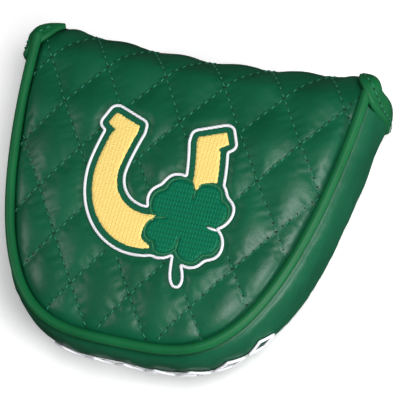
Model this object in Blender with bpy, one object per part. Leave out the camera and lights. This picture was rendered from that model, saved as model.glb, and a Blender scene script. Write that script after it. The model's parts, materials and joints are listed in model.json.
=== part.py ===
"""Mallet putter head cover, lying on its back with the decorated panel up.

A padded, D-shaped leather cover. The shell is a quilted top panel, a tall side gusset and a
pocket panel underneath, joined along two piped seams. At the straight front edge the top panel
rolls over into a flap that closes the mouth, and a tongue on the flap folds under the pocket
and holds there with two pairs of magnets.

All sizes below are in millimetres. X runs along the straight front edge, +Y points out of the
mouth, and +Z points up through the decorated panel. The origin is at the middle of the base.
"""
import math

import bmesh
import bpy
import numpy as np

MILLIMETRE = 0.001

# Driving dimensions of the D-shaped seam line.
SEAM_HALF_WIDTH = 60.0
SEAM_HALF_DEPTH = 53.3
SEAM_SIDE_POWER = 3.68
SEAM_NOSE_POWER = 1.72
CREASE_Z = 36.0
CROWN = 4.2
PLATEAU = 0.6

# Layers of every padded wall, from the outside in.
LEATHER = 1.2
PADDING = 2.5
LINING = 1.0
GAP = 0.3

# Side gusset: how far its outer face stands outside the seam line.
GUSSET_BOTTOM_Z = 3.9
GUSSET_TOP_BELOW_CREASE = 1.9
GUSSET_TOP_OUT = 2.8
GUSSET_MIDDLE_OUT = 4.5
GUSSET_BOTTOM_OUT = 1.3
GUSSET_FLARE = 1.5
GUSSET_FLARE_LENGTH = 18.0
GUSSET_FRONT_Y = 50.5
GUSSET_PINCH_START = 12.0
GUSSET_PINCH_LENGTH = 8.0
GUSSET_LINING_Z = 6.0

# The wall leans in to the lower seam, most of all round the nose.
SIDE_TUCK = 1.4
NOSE_TUCK = 5.9
NOSE_STARTS = 0.35
NOSE_BLEND = 0.4

# Piping.
PIPING_RADIUS = 1.8
PIPING_BORE = 1.25
CORD_RADIUS = 0.85
TOP_PIPING_OUT = 1.8
TOP_PIPING_RISE = 0.2
TOP_PIPING_FRONT_Y = 49.5
BOTTOM_PIPING_OUT = -0.2
BOTTOM_PIPING_FRONT_Y = 46.0

# Front roll, flap and tongue.
FLAP_HINGE_Y = 43.3
FLAP_ROLL_DROP = 13.8
FLAP_ROLL_POWER = 1.45
FLAP_ROLL_SHARE = 0.4
FLAP_FRONT_Y = 53.6
FLAP_BOW = 3.4
FLAP_BOW_X = 56.0
FLAP_TOP_HALF_WIDTH = 59.2
FLAP_ROLL_HALF_WIDTH = 55.0
FLAP_BOTTOM_HALF_WIDTH = 33.0
FLAP_BOTTOM_Z = 4.3
FLAP_PADDING = 2.0
FLAP_LINING = 0.8
TONGUE_HINGE_Z = 0.5
TONGUE_REAR_Y = -8.0
TONGUE_HALF_WIDTH = 30.0
TONGUE_CORNER_RADIUS = 16.0
TONGUE_FRONT_SPREAD = 2.0
TONGUE_LEATHER = 1.0
TONGUE_BOARD = 1.6
TONGUE_LINING = 0.8

# Pocket panel underneath.
POCKET_MOUTH_Y = 22.0
POCKET_LEATHER_Z = 4.3
POCKET_PADDING = 2.0
POCKET_LINING = 0.8
POCKET_INSET = 0.5
MOUTH_BINDING_INSET = 5.5

# Magnets.
MAGNET_RADIUS = 7.0
MAGNET_X = 17.0
MAGNET_Y = 8.0

# Binding tape. At the corners a channel holds the wall's end and a hood covers the piping's.
TAPE = 1.0
EDGE_TAPE = 1.2
CHANNEL_OUTER_LAP = 6.0
CHANNEL_INNER_LAP = 2.5
CHANNEL_TOP_BELOW_CREASE = 4.5
HOOD_LAP = 5.8
HOOD_FOOT_BELOW_CREASE = 7.0
HOOD_BEND_BELOW_CREASE = 2.2
HOOD_TURN = 120

# Diamonds sewn on the wall, centred to the right of the nose.
MOTIF_DIAMONDS = 7
MOTIF_PITCH = 11.0
MOTIF_SHIFT = 12.0
MOTIF_HALF_LENGTH = 4.2
MOTIF_HALF_HEIGHT = 5.0
MOTIF_BAR = 0.6
MOTIF_Z = CREASE_Z - 16.0
MOTIF_FROM_FRONT = 60.0

# Embroidery, lying on the flat middle of the crowned panel.
BACKING_THICK = 0.4
THREAD_THICK = 0.8
OUTLINE_WIDTH = 1.1
HORSESHOE_BORDER = 1.7
HORSESHOE_X = -1.8
HORSESHOE_BEND_Y = 3.0
HORSESHOE_ARM = 19.0
HORSESHOE_REACH = 18.0
HORSESHOE_LEAN = 3.0
HORSESHOE_DEPTH = 19.4
HORSESHOE_HALF = 4.5
HORSESHOE_SWELL = 1.9
HEEL_LENGTH = 4.6
HEEL_REACH = 2.9
CLOVER_CENTRE = (13.5, -8.7)
CLOVER_VALLEY = 7.4
CLOVER_LEAF = 8.4
CLOVER_NOTCH = 1.5
STEM_CENTRE = (14.7, -27.9)
STEM_HALF_LENGTH = 6.2
STEM_HALF_WIDTH = 1.9
STEM_ANGLE = -69.0
CLOVER_BORDER = 1.6
THREAD_GAP = 0.35

# The origin lies halfway between the motif on the nose and the front wall's outer corners.
NOSE_REACH = SEAM_HALF_DEPTH + GUSSET_MIDDLE_OUT + GAP + THREAD_THICK
FRONT_REACH = FLAP_FRONT_Y + FLAP_BOW - 0.1
DEPTH_SHIFT = (NOSE_REACH - FRONT_REACH) / 2

GREEN_LEATHER = ("green_leather", (0.012, 0.105, 0.045), 0.38, 0.0)
GREEN_TAPE = ("green_tape", (0.016, 0.15, 0.05), 0.42, 0.0)
GOLD_THREAD = ("gold_thread", (0.90, 0.60, 0.12), 0.55, 0.0)
WHITE_THREAD = ("white_thread", (0.85, 0.85, 0.86), 0.6, 0.0)
EMERALD_THREAD = ("emerald_thread", (0.0, 0.16, 0.07), 0.5, 0.0)
BORDER_THREAD = ("border_thread", (0.02, 0.17, 0.08), 0.5, 0.0)
FOAM = ("padding_foam", (0.62, 0.60, 0.52), 0.9, 0.0)
FLEECE = ("lining_fleece", (0.03, 0.03, 0.032), 0.95, 0.0)
CORD = ("piping_cord", (0.75, 0.74, 0.70), 0.8, 0.0)
BOARD = ("tongue_board", (0.05, 0.05, 0.05), 0.6, 0.0)
MAGNET = ("magnet_steel", (0.55, 0.55, 0.56), 0.3, 1.0)


def smooth_step(value):
    value = min(max(value, 0.0), 1.0)
    return value * value * (3.0 - 2.0 * value)


def material_for(finish):
    """Return the Principled material of a finish: name, colour, roughness, metallic."""
    name, colour, roughness, metallic = finish
    material = bpy.data.materials.get(name)
    if material is None:
        material = bpy.data.materials.new(name)
        material.use_nodes = True
        shader = material.node_tree.nodes["Principled BSDF"]
        shader.inputs["Base Color"].default_value = (*colour, 1.0)
        shader.inputs["Roughness"].default_value = roughness
        shader.inputs["Metallic"].default_value = metallic
    return material


def add_solid(name, points, faces, finish, origin=(0.0, 0.0, 0.0), smooth=True):
    """Make one object from points in millimetres, its origin at a given point."""
    shift = np.array([0.0, DEPTH_SHIFT, 0.0])
    origin = np.array(origin, float)
    local = (np.asarray(points, float) - origin) * MILLIMETRE
    mesh = bpy.data.meshes.new(name)
    mesh.from_pydata([tuple(p) for p in local], [], [tuple(f) for f in faces])
    build = bmesh.new()
    build.from_mesh(mesh)
    bmesh.ops.recalc_face_normals(build, faces=build.faces)
    build.to_mesh(mesh)
    build.free()
    if smooth:
        mesh.shade_smooth()
        mesh.set_sharp_from_angle(angle=math.radians(40.0))
    mesh.materials.append(material_for(finish))
    solid = bpy.data.objects.new(name, mesh)
    solid.location = tuple((origin + shift) * MILLIMETRE)
    bpy.context.scene.collection.objects.link(solid)
    return solid


def seam_line(out, front_y, count):
    """Points along the D-shaped seam, set off outwards, from the right front round the nose.

    The seam is a Lame curve: its sides run straight out of the front and close in a blunt nose.
    Returns the points and their outward directions, both as count rows of x and y.
    """
    angle = np.linspace(0.0, math.pi / 2, 600)
    x = SEAM_HALF_WIDTH * np.cos(angle) ** (2 / SEAM_SIDE_POWER)
    y = SEAM_HALF_DEPTH - 2 * SEAM_HALF_DEPTH * np.sin(angle) ** (2 / SEAM_NOSE_POWER)
    x[-1] = 0.0
    right = np.stack([x, y], axis=1)
    left = np.stack([-x[-2::-1], y[-2::-1]], axis=1)
    line = np.concatenate([right, left])
    line = line + outward_of(line) * out
    line = line[line[:, 1] <= front_y]
    length = np.concatenate([[0.0], np.cumsum(np.linalg.norm(np.diff(line, axis=0), axis=1))])
    even = np.linspace(0.0, length[-1], count)
    points = np.stack([np.interp(even, length, line[:, k]) for k in (0, 1)], axis=1)
    return points, outward_of(points)


def tuck_at(outward_y):
    """How far the lower seam is drawn in, from the seam's outward direction."""
    return SIDE_TUCK + NOSE_TUCK * smooth_step((-outward_y - NOSE_STARTS) / NOSE_BLEND)


def lower_seam(out, front_y, count):
    """The seam line as drawn in at the bottom, with its outward directions."""
    points, outward = seam_line(out, front_y, count)
    tuck = np.array([tuck_at(v) for v in outward[:, 1]])
    return points - outward * tuck[:, None], outward


def outward_of(line):
    """Outward directions along a line that runs clockwise, seen from above."""
    step = np.gradient(line, axis=0)
    outward = np.stack([-step[:, 1], step[:, 0]], axis=1)
    return outward / np.linalg.norm(outward, axis=1)[:, None]


def ring_sweep(name, rings, finish, **options):
    """Join rings of equal length into a solid with flat ends."""
    rings = [np.asarray(ring, float) for ring in rings]
    size = len(rings[0])
    points = np.concatenate(rings)
    faces = []
    for near in range(0, len(points) - size, size):
        for i in range(size):
            j = (i + 1) % size
            faces.append((near + i, near + j, near + size + j, near + size + i))
    faces.append(tuple(range(size)))
    faces.append(tuple(range(len(points) - size, len(points))))
    return add_solid(name, points, faces, finish, **options)


def tube_sweep(name, path, radius, bore, finish, sides=8):
    """A round cord along a level path, or a sleeve with a bore through its whole length."""
    points, outward = path
    angles = [2 * math.pi * k / sides for k in range(sides)]
    count = len(points)
    radii = [radius] if bore is None else [radius, bore]
    verts = []
    for r in radii:
        for (x, y, z), (u, v) in zip(points, outward):
            for angle in angles:
                reach = r * math.cos(angle)
                verts.append((x + u * reach, y + v * reach, z + r * math.sin(angle)))
    faces = []
    for layer in range(len(radii)):
        base = layer * count * sides
        for k in range(count - 1):
            for i in range(sides):
                j = (i + 1) % sides
                a = base + k * sides
                faces.append((a + i, a + j, a + sides + j, a + sides + i))
    for end in (0, count - 1):
        outer = end * sides
        if bore is None:
            faces.append(tuple(range(outer, outer + sides)))
            continue
        inner = outer + count * sides
        for i in range(sides):
            j = (i + 1) % sides
            faces.append((outer + i, outer + j, inner + j, inner + i))
    return add_solid(name, verts, faces, finish)


def gusset_out(z, from_front, tuck):
    """Distance from the seam line to the gusset's outer face at a height."""
    top_z = CREASE_Z - GUSSET_TOP_BELOW_CREASE
    t = (z - GUSSET_BOTTOM_Z) / (top_z - GUSSET_BOTTOM_Z)
    bulge = GUSSET_MIDDLE_OUT - (GUSSET_TOP_OUT + GUSSET_BOTTOM_OUT) / 2
    level = GUSSET_BOTTOM_OUT + (GUSSET_TOP_OUT - GUSSET_BOTTOM_OUT) * t + 4 * bulge * t * (1 - t)
    flare = GUSSET_FLARE * 4 * t * (1 - t) * smooth_step(1.0 - from_front / GUSSET_FLARE_LENGTH)
    return level + flare - tuck * (1.0 - t) ** 3


def gusset_layer(name, depth, thick, low_z, high_z, finish, levels, end_margin=0.0, pinch=0.0):
    """One layer of the side wall, at a depth inside its outer face.

    The lining closes up to the leather where the wall's front ends are bound, by pinch.
    """
    points, outward = seam_line(0.0, GUSSET_FRONT_Y - end_margin, 49)
    heights = np.linspace(low_z, high_z, levels)
    rings = []
    for (x, y), (u, v) in zip(points, outward):
        from_front = GUSSET_FRONT_Y - y
        tuck = tuck_at(v)
        closing = pinch * smooth_step((GUSSET_PINCH_START - from_front) / GUSSET_PINCH_LENGTH)
        ring = []
        for side, order in ((0.0, heights), (thick, heights[::-1])):
            for z in order:
                out = gusset_out(z, from_front, tuck) - depth - side + closing
                ring.append((x + u * out, y + v * out, z))
        rings.append(ring)
    return ring_sweep(name, rings, finish)


def make_gusset():
    top_z = CREASE_Z - GUSSET_TOP_BELOW_CREASE
    stack_top = CREASE_Z - LEATHER - PADDING - LINING - 3 * GAP
    foam_depth = LEATHER + GAP
    lining_depth = foam_depth + PADDING + GAP
    gusset_layer("gusset_leather", 0.0, LEATHER, GUSSET_BOTTOM_Z, top_z, GREEN_LEATHER, 9)
    gusset_layer("gusset_padding", foam_depth, PADDING, GUSSET_LINING_Z, stack_top, FOAM, 8,
                 end_margin=GUSSET_PINCH_START)
    gusset_layer("gusset_lining", lining_depth, LINING, GUSSET_LINING_Z, stack_top, FLEECE, 8,
                 pinch=PADDING)


def make_piping():
    """Two piped seams: a leather sleeve round a cord, along the top and the bottom seam."""
    top_z = CREASE_Z + TOP_PIPING_RISE
    for label, around, out, front_y, z in (
            ("top", seam_line, TOP_PIPING_OUT, TOP_PIPING_FRONT_Y, top_z),
            ("bottom", lower_seam, BOTTOM_PIPING_OUT, BOTTOM_PIPING_FRONT_Y, PIPING_RADIUS)):
        points, outward = around(out, front_y, 45)
        path = ([(x, y, z) for x, y in points], outward)
        tube_sweep(label + "_piping_cover", path, PIPING_RADIUS, PIPING_BORE, GREEN_TAPE)
        tube_sweep(label + "_piping_cord", path, CORD_RADIUS, None, CORD, sides=6)


def panel_outline(around, inset, front_y, count):
    """The upper or the lower seam closed by a straight front edge."""
    points, _ = around(-inset, front_y, count)
    front = np.linspace(points[-1, 0], points[0, 0], 13)[1:-1]
    edge = [(x, points[0, 1]) for x in front]
    return np.concatenate([points, edge])


def dished_panel(name, outline, centre, top, thick, finish, rings=(1.0, 0.94, 0.85, 0.73)):
    """A sheet made of rings that shrink towards a centre, closed by a flat middle.

    top gives the upper face's height for a ring, from 1 at the edge.
    """
    centre = np.array(centre)
    rings = (*rings, PLATEAU)
    count = len(outline)
    verts = []
    for layer in (0.0, thick):
        for ring in rings:
            for x, y in centre + (outline - centre) * ring:
                verts.append((x, y, top(ring) - layer))
    faces = []
    span = len(rings) * count
    for base in (0, span):
        for k in range(len(rings) - 1):
            for i in range(count):
                j = (i + 1) % count
                a = base + k * count
                faces.append((a + i, a + j, a + count + j, a + count + i))
        faces.append(tuple(range(base + span - count, base + span)))
    for i in range(count):
        j = (i + 1) % count
        faces.append((i, j, span + j, span + i))
    return add_solid(name, verts, faces, finish)


def crown_height(ring):
    """The top panel swells quickly inside its seam and is flat in the middle."""
    outer = max(ring - PLATEAU, 0.0) / (1.0 - PLATEAU)
    return CREASE_Z + CROWN * (1.0 - outer ** 2.2)


def make_top_panel():
    outline = panel_outline(seam_line, GAP, FLAP_HINGE_Y, 45)
    depth = 0.0
    for name, thick, finish in (("top_panel_leather", LEATHER, GREEN_LEATHER),
                                ("top_panel_padding", PADDING, FOAM),
                                ("top_panel_lining", LINING, FLEECE)):
        dished_panel(name, outline, (0.0, -2.0), lambda ring: crown_height(ring) - depth,
                     thick, finish)
        depth += thick + GAP


def prism(name, outline, low_z, high_z, finish, smooth=False):
    """An upright solid with the given outline."""
    count = len(outline)
    verts = [(x, y, z) for z in (low_z, high_z) for x, y in outline]
    faces = [tuple(range(count)), tuple(range(count, 2 * count))]
    for i in range(count):
        j = (i + 1) % count
        faces.append((i, j, count + j, count + i))
    return add_solid(name, verts, faces, finish, smooth=smooth)


def disc_outline(x, y, radius, count):
    angles = [2 * math.pi * k / count for k in range(count)]
    return [(x + radius * math.cos(a), y + radius * math.sin(a)) for a in angles]


def combine(solid, other, operation):
    """Apply a Boolean of two solids and remove the second."""
    modifier = solid.modifiers.new(operation.lower(), "BOOLEAN")
    modifier.operation = operation
    modifier.solver = "EXACT"
    modifier.object = other
    bpy.context.view_layer.update()
    graph = bpy.context.evaluated_depsgraph_get()
    result = bpy.data.meshes.new_from_object(solid.evaluated_get(graph))
    solid.modifiers.clear()
    spare = solid.data
    solid.data = result
    bpy.data.meshes.remove(spare)
    bpy.data.objects.remove(other)


def cut_magnet_holes(solid, low_z, high_z):
    for side in (-1, 1):
        outline = disc_outline(side * MAGNET_X, MAGNET_Y, MAGNET_RADIUS + GAP, 24)
        cutter = prism("hole_cutter", outline, low_z - 1.0, high_z + 1.0, BOARD)
        combine(solid, cutter, "DIFFERENCE")


def add_magnets(label, low_z, high_z):
    for side, word in ((-1, "left"), (1, "right")):
        outline = disc_outline(side * MAGNET_X, MAGNET_Y, MAGNET_RADIUS, 24)
        prism("%s_magnet_%s" % (label, word), outline, low_z, high_z, MAGNET)


def make_pocket_panel():
    """The flat panel underneath: leather outside, padding that holds two magnets, lining."""
    outer = panel_outline(lower_seam, POCKET_INSET, POCKET_MOUTH_Y, 45)
    inner = panel_outline(lower_seam, GUSSET_MIDDLE_OUT, POCKET_MOUTH_Y, 45)
    leather_top = POCKET_LEATHER_Z + LEATHER
    padding_low = leather_top + GAP
    padding_high = padding_low + POCKET_PADDING
    lining_low = padding_high + GAP
    lining_high = lining_low + POCKET_LINING
    prism("pocket_leather", outer, POCKET_LEATHER_Z, leather_top, GREEN_LEATHER)
    padding = prism("pocket_padding", inner, padding_low, padding_high, FOAM)
    cut_magnet_holes(padding, padding_low, padding_high)
    add_magnets("pocket", padding_low, padding_high)
    prism("pocket_lining", inner, lining_low, lining_high, FLEECE)
    reach = outer[0][0] - MOUTH_BINDING_INSET
    near = POCKET_MOUTH_Y + GAP
    far = near + EDGE_TAPE
    strip = [(-reach, near), (reach, near), (reach, far), (-reach, far)]
    prism("pocket_mouth_binding", strip, POCKET_LEATHER_Z, lining_high, GREEN_TAPE)


def flap_half_width(v):
    """Half the flap's width, from its hinge (v = 0) down to the tongue (v = 1)."""
    corner = FLAP_TOP_HALF_WIDTH - FLAP_ROLL_HALF_WIDTH
    taper = FLAP_ROLL_HALF_WIDTH - FLAP_BOTTOM_HALF_WIDTH
    down = (v - FLAP_ROLL_SHARE) / (1.0 - FLAP_ROLL_SHARE)
    return (FLAP_TOP_HALF_WIDTH - corner * smooth_step(v / FLAP_ROLL_SHARE)
            - taper * smooth_step(down))


def flap_profile(v, x):
    """Point of the flap's outer face in the YZ plane, v of the way from hinge to tongue.

    A quarter of a Lame curve rolls over the front, and the wall runs straight down from it. The
    front is hollowed a little in the middle of its width, less and less towards the bottom.
    """
    bow = FLAP_BOW * (x / FLAP_BOW_X) ** 2
    if v <= FLAP_ROLL_SHARE:
        turn = min(v / FLAP_ROLL_SHARE, 1.0) * math.pi / 2
        start = FLAP_HINGE_Y + GAP
        reach = FLAP_FRONT_Y + bow - start
        power = 2 / FLAP_ROLL_POWER
        y = start + reach * math.sin(turn) ** power
        z = CREASE_Z - FLAP_ROLL_DROP * (1.0 - max(math.cos(turn), 0.0) ** power)
        return np.array([y, z])
    down = (v - FLAP_ROLL_SHARE) / (1.0 - FLAP_ROLL_SHARE)
    z = CREASE_Z - FLAP_ROLL_DROP - down * (CREASE_Z - FLAP_ROLL_DROP - FLAP_BOTTOM_Z)
    return np.array([FLAP_FRONT_Y + bow * (1.0 - smooth_step(down)), z])


def flap_point(u, v, depth):
    """Point at a share u of the half width, depth below the outer face."""
    x = u * flap_half_width(v)
    here = flap_profile(v, x)
    small = 0.004
    ahead = flap_profile(min(v + small, 1.0), x)
    behind = flap_profile(max(v - small, 0.0), x)
    along = (ahead - behind) / np.linalg.norm(ahead - behind)
    inward = np.array([along[1], -along[0]])
    if v == 0.0:
        inward = np.array([0.0, -1.0])
    if v == 1.0:
        inward = np.array([-1.0, 0.0])
    y, z = here + inward * depth
    return (x, y, z)


def flap_sheet(name, depth, thick, finish, inset=0.0):
    across = np.linspace(-1.0, 1.0, 9)
    down = np.linspace(0.0, 1.0, 13)
    verts = []
    for level in (depth, depth + thick):
        for v in down:
            for u in across:
                verts.append(flap_point(u * (1.0 - inset), v, level))
    wide = len(across)
    tall = len(down)
    span = wide * tall
    faces = []
    for base in (0, span):
        for k in range(tall - 1):
            for i in range(wide - 1):
                a = base + k * wide + i
                faces.append((a, a + 1, a + wide + 1, a + wide))
    rim = [i for i in range(wide)]
    rim += [k * wide + wide - 1 for k in range(1, tall)]
    rim += [span - 2 - i for i in range(wide - 1)]
    rim += [k * wide for k in range(tall - 2, 0, -1)]
    for a, b in zip(rim, rim[1:] + rim[:1]):
        faces.append((a, b, span + b, span + a))
    hinge = (0.0, FLAP_HINGE_Y, CREASE_Z)
    return add_solid(name, verts, faces, finish, origin=hinge)


def make_flap():
    flap_sheet("flap_leather", 0.0, LEATHER, GREEN_LEATHER)
    padding_depth = LEATHER + GAP
    lining_depth = padding_depth + FLAP_PADDING + GAP
    flap_sheet("flap_padding", padding_depth, FLAP_PADDING, FOAM, inset=0.05)
    flap_sheet("flap_lining", lining_depth, FLAP_LINING, FLEECE, inset=0.05)
    stack = lining_depth + FLAP_LINING
    hinge = (0.0, FLAP_HINGE_Y, CREASE_Z)
    for side, word in ((-1, "left"), (1, "right")):
        rings = []
        for v in np.linspace(0.22, 1.0, 15):
            outer = np.array(flap_point(side, v, 0.0))
            inner = np.array(flap_point(side, v, stack))
            near = np.array([side * GAP, 0.0, 0.0])
            far = np.array([side * (GAP + EDGE_TAPE), 0.0, 0.0])
            rings.append([outer + near, outer + far, inner + far, inner + near])
        ring_sweep("flap_%s_binding" % word, rings, GREEN_TAPE, origin=hinge)


def tongue_outline(out):
    """The tongue's plan: straight sides and a round rear end, set off outwards."""
    front_y = FLAP_FRONT_Y - 0.4
    radius = TONGUE_CORNER_RADIUS
    points = [(TONGUE_HALF_WIDTH + TONGUE_FRONT_SPREAD + out, front_y)]
    for side in (1, -1):
        start = 0.0 if side == 1 else math.pi / 2
        for k in range(7):
            turn = start + math.pi / 2 * k / 6
            x = side * (TONGUE_HALF_WIDTH - radius) + (radius + out) * math.cos(turn)
            y = TONGUE_REAR_Y + radius - (radius + out) * math.sin(turn)
            points.append((x, y))
    points.append((-TONGUE_HALF_WIDTH - TONGUE_FRONT_SPREAD - out, front_y))
    return points


def make_tongue():
    """The tongue under the pocket: leather outside, a stiff board with magnets, lining."""
    hinge = (0.0, FLAP_FRONT_Y, TONGUE_HINGE_Z)
    outline = tongue_outline(0.0)
    board_low = TONGUE_LEATHER + GAP
    board_high = board_low + TONGUE_BOARD
    lining_low = board_high + GAP
    lining_high = lining_low + TONGUE_LINING
    prism("tongue_leather", outline, 0.0, TONGUE_LEATHER, GREEN_LEATHER)
    board = prism("tongue_board", outline, board_low, board_high, BOARD)
    cut_magnet_holes(board, board_low, board_high)
    add_magnets("tongue", board_low, board_high)
    prism("tongue_lining", outline, lining_low, lining_high, FLEECE)
    inner = tongue_outline(GAP)
    outer = tongue_outline(GAP + EDGE_TAPE)
    rings = []
    for (ax, ay), (bx, by) in zip(inner, outer):
        rings.append([(ax, ay, 0.0), (bx, by, 0.0), (bx, by, lining_high), (ax, ay, lining_high)])
    ring_sweep("tongue_edge_binding", rings, GREEN_TAPE)
    for solid in bpy.data.objects:
        if solid.name.startswith("tongue_"):
            move_origin(solid, hinge)


def move_origin(solid, point):
    """Put an object's origin at a point without moving its mesh in the world."""
    target = (np.array(point) + np.array([0.0, DEPTH_SHIFT, 0.0])) * MILLIMETRE
    shift = target - np.array(solid.location)
    for vertex in solid.data.vertices:
        vertex.co = tuple(np.array(vertex.co) - shift)
    solid.location = tuple(target)


def make_corner_bindings():
    """Tape folded round each front end of the gusset and over the end of the piping."""
    stack = LEATHER + LINING + 2 * GAP
    for side, word in ((1, "right"), (-1, "left")):
        channel = corner_channel("corner_binding_" + word, side, stack)
        hood = corner_hood("hood_" + word, side)
        combine(channel, hood, "UNION")


def corner_channel(name, side, stack):
    """A U-section that stands upright along the gusset's bound front end."""
    rings = []
    rear_out = GUSSET_FRONT_Y - CHANNEL_OUTER_LAP
    rear_in = GUSSET_FRONT_Y - CHANNEL_INNER_LAP
    front = GUSSET_FRONT_Y + GAP + TAPE
    top_z = CREASE_Z - CHANNEL_TOP_BELOW_CREASE
    for z in np.linspace(GUSSET_BOTTOM_Z + GAP, top_z, 8):
        out = SEAM_HALF_WIDTH + gusset_out(z, 0.0, SIDE_TUCK)
        outside = out + GAP + TAPE
        inside = out - stack - 3 * GAP - TAPE
        ring = [(outside, rear_out), (outside, front), (inside, front), (inside, rear_in),
                (inside + TAPE, rear_in), (inside + TAPE, front - TAPE),
                (outside - TAPE, front - TAPE), (outside - TAPE, rear_out)]
        rings.append([(side * x, y, z) for x, y in ring])
    return ring_sweep(name, rings, GREEN_TAPE, smooth=False)


def corner_hood(name, side):
    """Tape that carries on from the gusset's outer face and curls over the piping's end."""
    centre_x = SEAM_HALF_WIDTH + TOP_PIPING_OUT
    centre_z = CREASE_Z + TOP_PIPING_RISE
    foot_z = CREASE_Z - HOOD_FOOT_BELOW_CREASE
    bend_z = CREASE_Z - HOOD_BEND_BELOW_CREASE
    leg_x = SEAM_HALF_WIDTH + gusset_out(foot_z, 0.0, SIDE_TUCK) + GAP + 0.05
    inner = [(leg_x, foot_z), (leg_x - 0.4, bend_z)]
    outer = [(leg_x + TAPE, foot_z), (leg_x + TAPE, bend_z)]
    for turn in range(0, HOOD_TURN + 1, 20):
        angle = math.radians(turn)
        reach = PIPING_RADIUS + GAP
        inner.append((centre_x + reach * math.cos(angle), centre_z + reach * math.sin(angle)))
        reach += TAPE
        outer.append((centre_x + reach * math.cos(angle), centre_z + reach * math.sin(angle)))
    outline = inner + outer[::-1]
    rings = []
    for y in (GUSSET_FRONT_Y - HOOD_LAP, GUSSET_FRONT_Y + GAP + TAPE - 0.2):
        rings.append([(side * x, y, z) for x, z in outline])
    return ring_sweep(name, rings, GREEN_TAPE, smooth=False)


def horseshoe_outline(out, start=0.0, end=1.0):
    """A horseshoe's outline between two shares of its length, set off outwards.

    Two arms lean in towards their tips, a half ellipse joins them, and each tip has a heel
    on its outer side.
    """
    bend_y = HORSESHOE_BEND_Y
    arm = [(HORSESHOE_REACH - HORSESHOE_LEAN * t ** 1.5, bend_y + HORSESHOE_ARM * t)
           for t in np.linspace(0.0, 1.0, 9)[1:]]
    bend = [(HORSESHOE_REACH * math.sin(turn), bend_y - HORSESHOE_DEPTH * math.cos(turn))
            for turn in np.radians(np.linspace(-90.0, 90.0, 21))]
    centre = [(-x, y) for x, y in arm[::-1]] + bend + arm
    centre = np.array(centre) + np.array([HORSESHOE_X, 0.0])
    step = np.gradient(centre, axis=0)
    step /= np.linalg.norm(step, axis=1)[:, None]
    away = np.stack([step[:, 1], -step[:, 0]], axis=1)
    length = np.concatenate([[0.0], np.cumsum(np.linalg.norm(np.diff(centre, axis=0), axis=1))])
    share = length / length[-1]
    heel = HEEL_LENGTH + out
    outer = []
    inner = []
    for k in range(len(centre)):
        if not start <= share[k] <= end:
            continue
        low = max(-(centre[k][1] - bend_y) / HORSESHOE_DEPTH, 0.0)
        half = HORSESHOE_HALF + HORSESHOE_SWELL * low ** 2 + out
        edge = min(length[k], length[-1] - length[k])
        wide = half + (HEEL_REACH if edge < heel else 0.0)
        outer.append(centre[k] + away[k] * wide)
        inner.append(centre[k] - away[k] * half)
    if start == 0.0:
        outer[0] = outer[0] - step[0] * out
        inner[0] = inner[0] - step[0] * out
    if end == 1.0:
        outer[-1] = outer[-1] + step[-1] * out
        inner[-1] = inner[-1] + step[-1] * out
    return [tuple(p) for p in outer] + [tuple(p) for p in inner[::-1]]


def clover_outline(out, count=72):
    """Four heart-shaped leaves round a centre, set off outwards."""
    points = []
    for k in range(count):
        angle = 2 * math.pi * k / count
        leaf = abs(math.sin(2 * angle)) ** 0.55
        off_axis = (angle % (math.pi / 2) - math.pi / 4) / math.radians(10.0)
        notch = CLOVER_NOTCH * math.exp(-off_axis ** 2)
        radius = CLOVER_VALLEY + CLOVER_LEAF * leaf - notch + out
        points.append((CLOVER_CENTRE[0] + radius * math.cos(angle),
                       CLOVER_CENTRE[1] + radius * math.sin(angle)))
    return points


def stem_outline(out, count=24):
    """A small loop for the clover's stem."""
    lean = math.radians(STEM_ANGLE)
    points = []
    for k in range(count):
        angle = 2 * math.pi * k / count
        along = (STEM_HALF_LENGTH + out) * math.cos(angle)
        across = (STEM_HALF_WIDTH + out) * math.sin(angle)
        points.append((STEM_CENTRE[0] + along * math.cos(lean) - across * math.sin(lean),
                       STEM_CENTRE[1] + along * math.sin(lean) + across * math.cos(lean)))
    return points


def emblem_block(name, low_z, high_z, horseshoe_out, clover_out, stem_out, finish):
    """The whole emblem's silhouette as one block."""
    block = prism(name, horseshoe_outline(horseshoe_out), low_z, high_z, finish)
    combine(block, prism("leaves", clover_outline(clover_out), low_z, high_z, finish), "UNION")
    combine(block, prism("stem", stem_outline(stem_out), low_z, high_z, finish), "UNION")
    return block


def make_emblem():
    """A horseshoe and a four-leaf clover in raised thread, inside a white outline."""
    base = CREASE_Z + CROWN + GAP
    backing_top = base + BACKING_THICK
    low_z = backing_top + GAP
    high_z = low_z + THREAD_THICK
    inside = HORSESHOE_BORDER
    outside = inside + OUTLINE_WIDTH
    clover_in = THREAD_GAP
    clover_out = clover_in + OUTLINE_WIDTH
    emblem_block("embroidery_backing", base, backing_top, outside + 0.3, clover_out + 0.3,
                 OUTLINE_WIDTH + 0.3, GREEN_LEATHER)
    outline = emblem_block("white_outline_embroidery", low_z, high_z, outside, clover_out,
                           OUTLINE_WIDTH, WHITE_THREAD)
    cutter = emblem_block("outline_cutter", low_z - 1.0, high_z + 1.0, inside, clover_in, 0.0,
                          WHITE_THREAD)
    combine(outline, cutter, "DIFFERENCE")
    for word, start, end in (("left", 0.0, 0.62), ("right", 0.62, 1.0)):
        shoe = prism("horseshoe_embroidery_" + word, horseshoe_outline(0.0, start, end),
                     low_z, high_z, GOLD_THREAD)
        cutter = prism("leaf_cutter", clover_outline(THREAD_GAP), low_z - 1.0, high_z + 1.0,
                       BORDER_THREAD)
        combine(shoe, cutter, "DIFFERENCE")
    border = prism("clover_border_embroidery", clover_outline(0.0), low_z, high_z, BORDER_THREAD)
    cutter = prism("leaf_cutter", clover_outline(-CLOVER_BORDER + THREAD_GAP), low_z - 1.0,
                   high_z + 1.0, BORDER_THREAD)
    combine(border, cutter, "DIFFERENCE")
    prism("clover_embroidery", clover_outline(-CLOVER_BORDER), low_z, high_z, EMERALD_THREAD)


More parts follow.
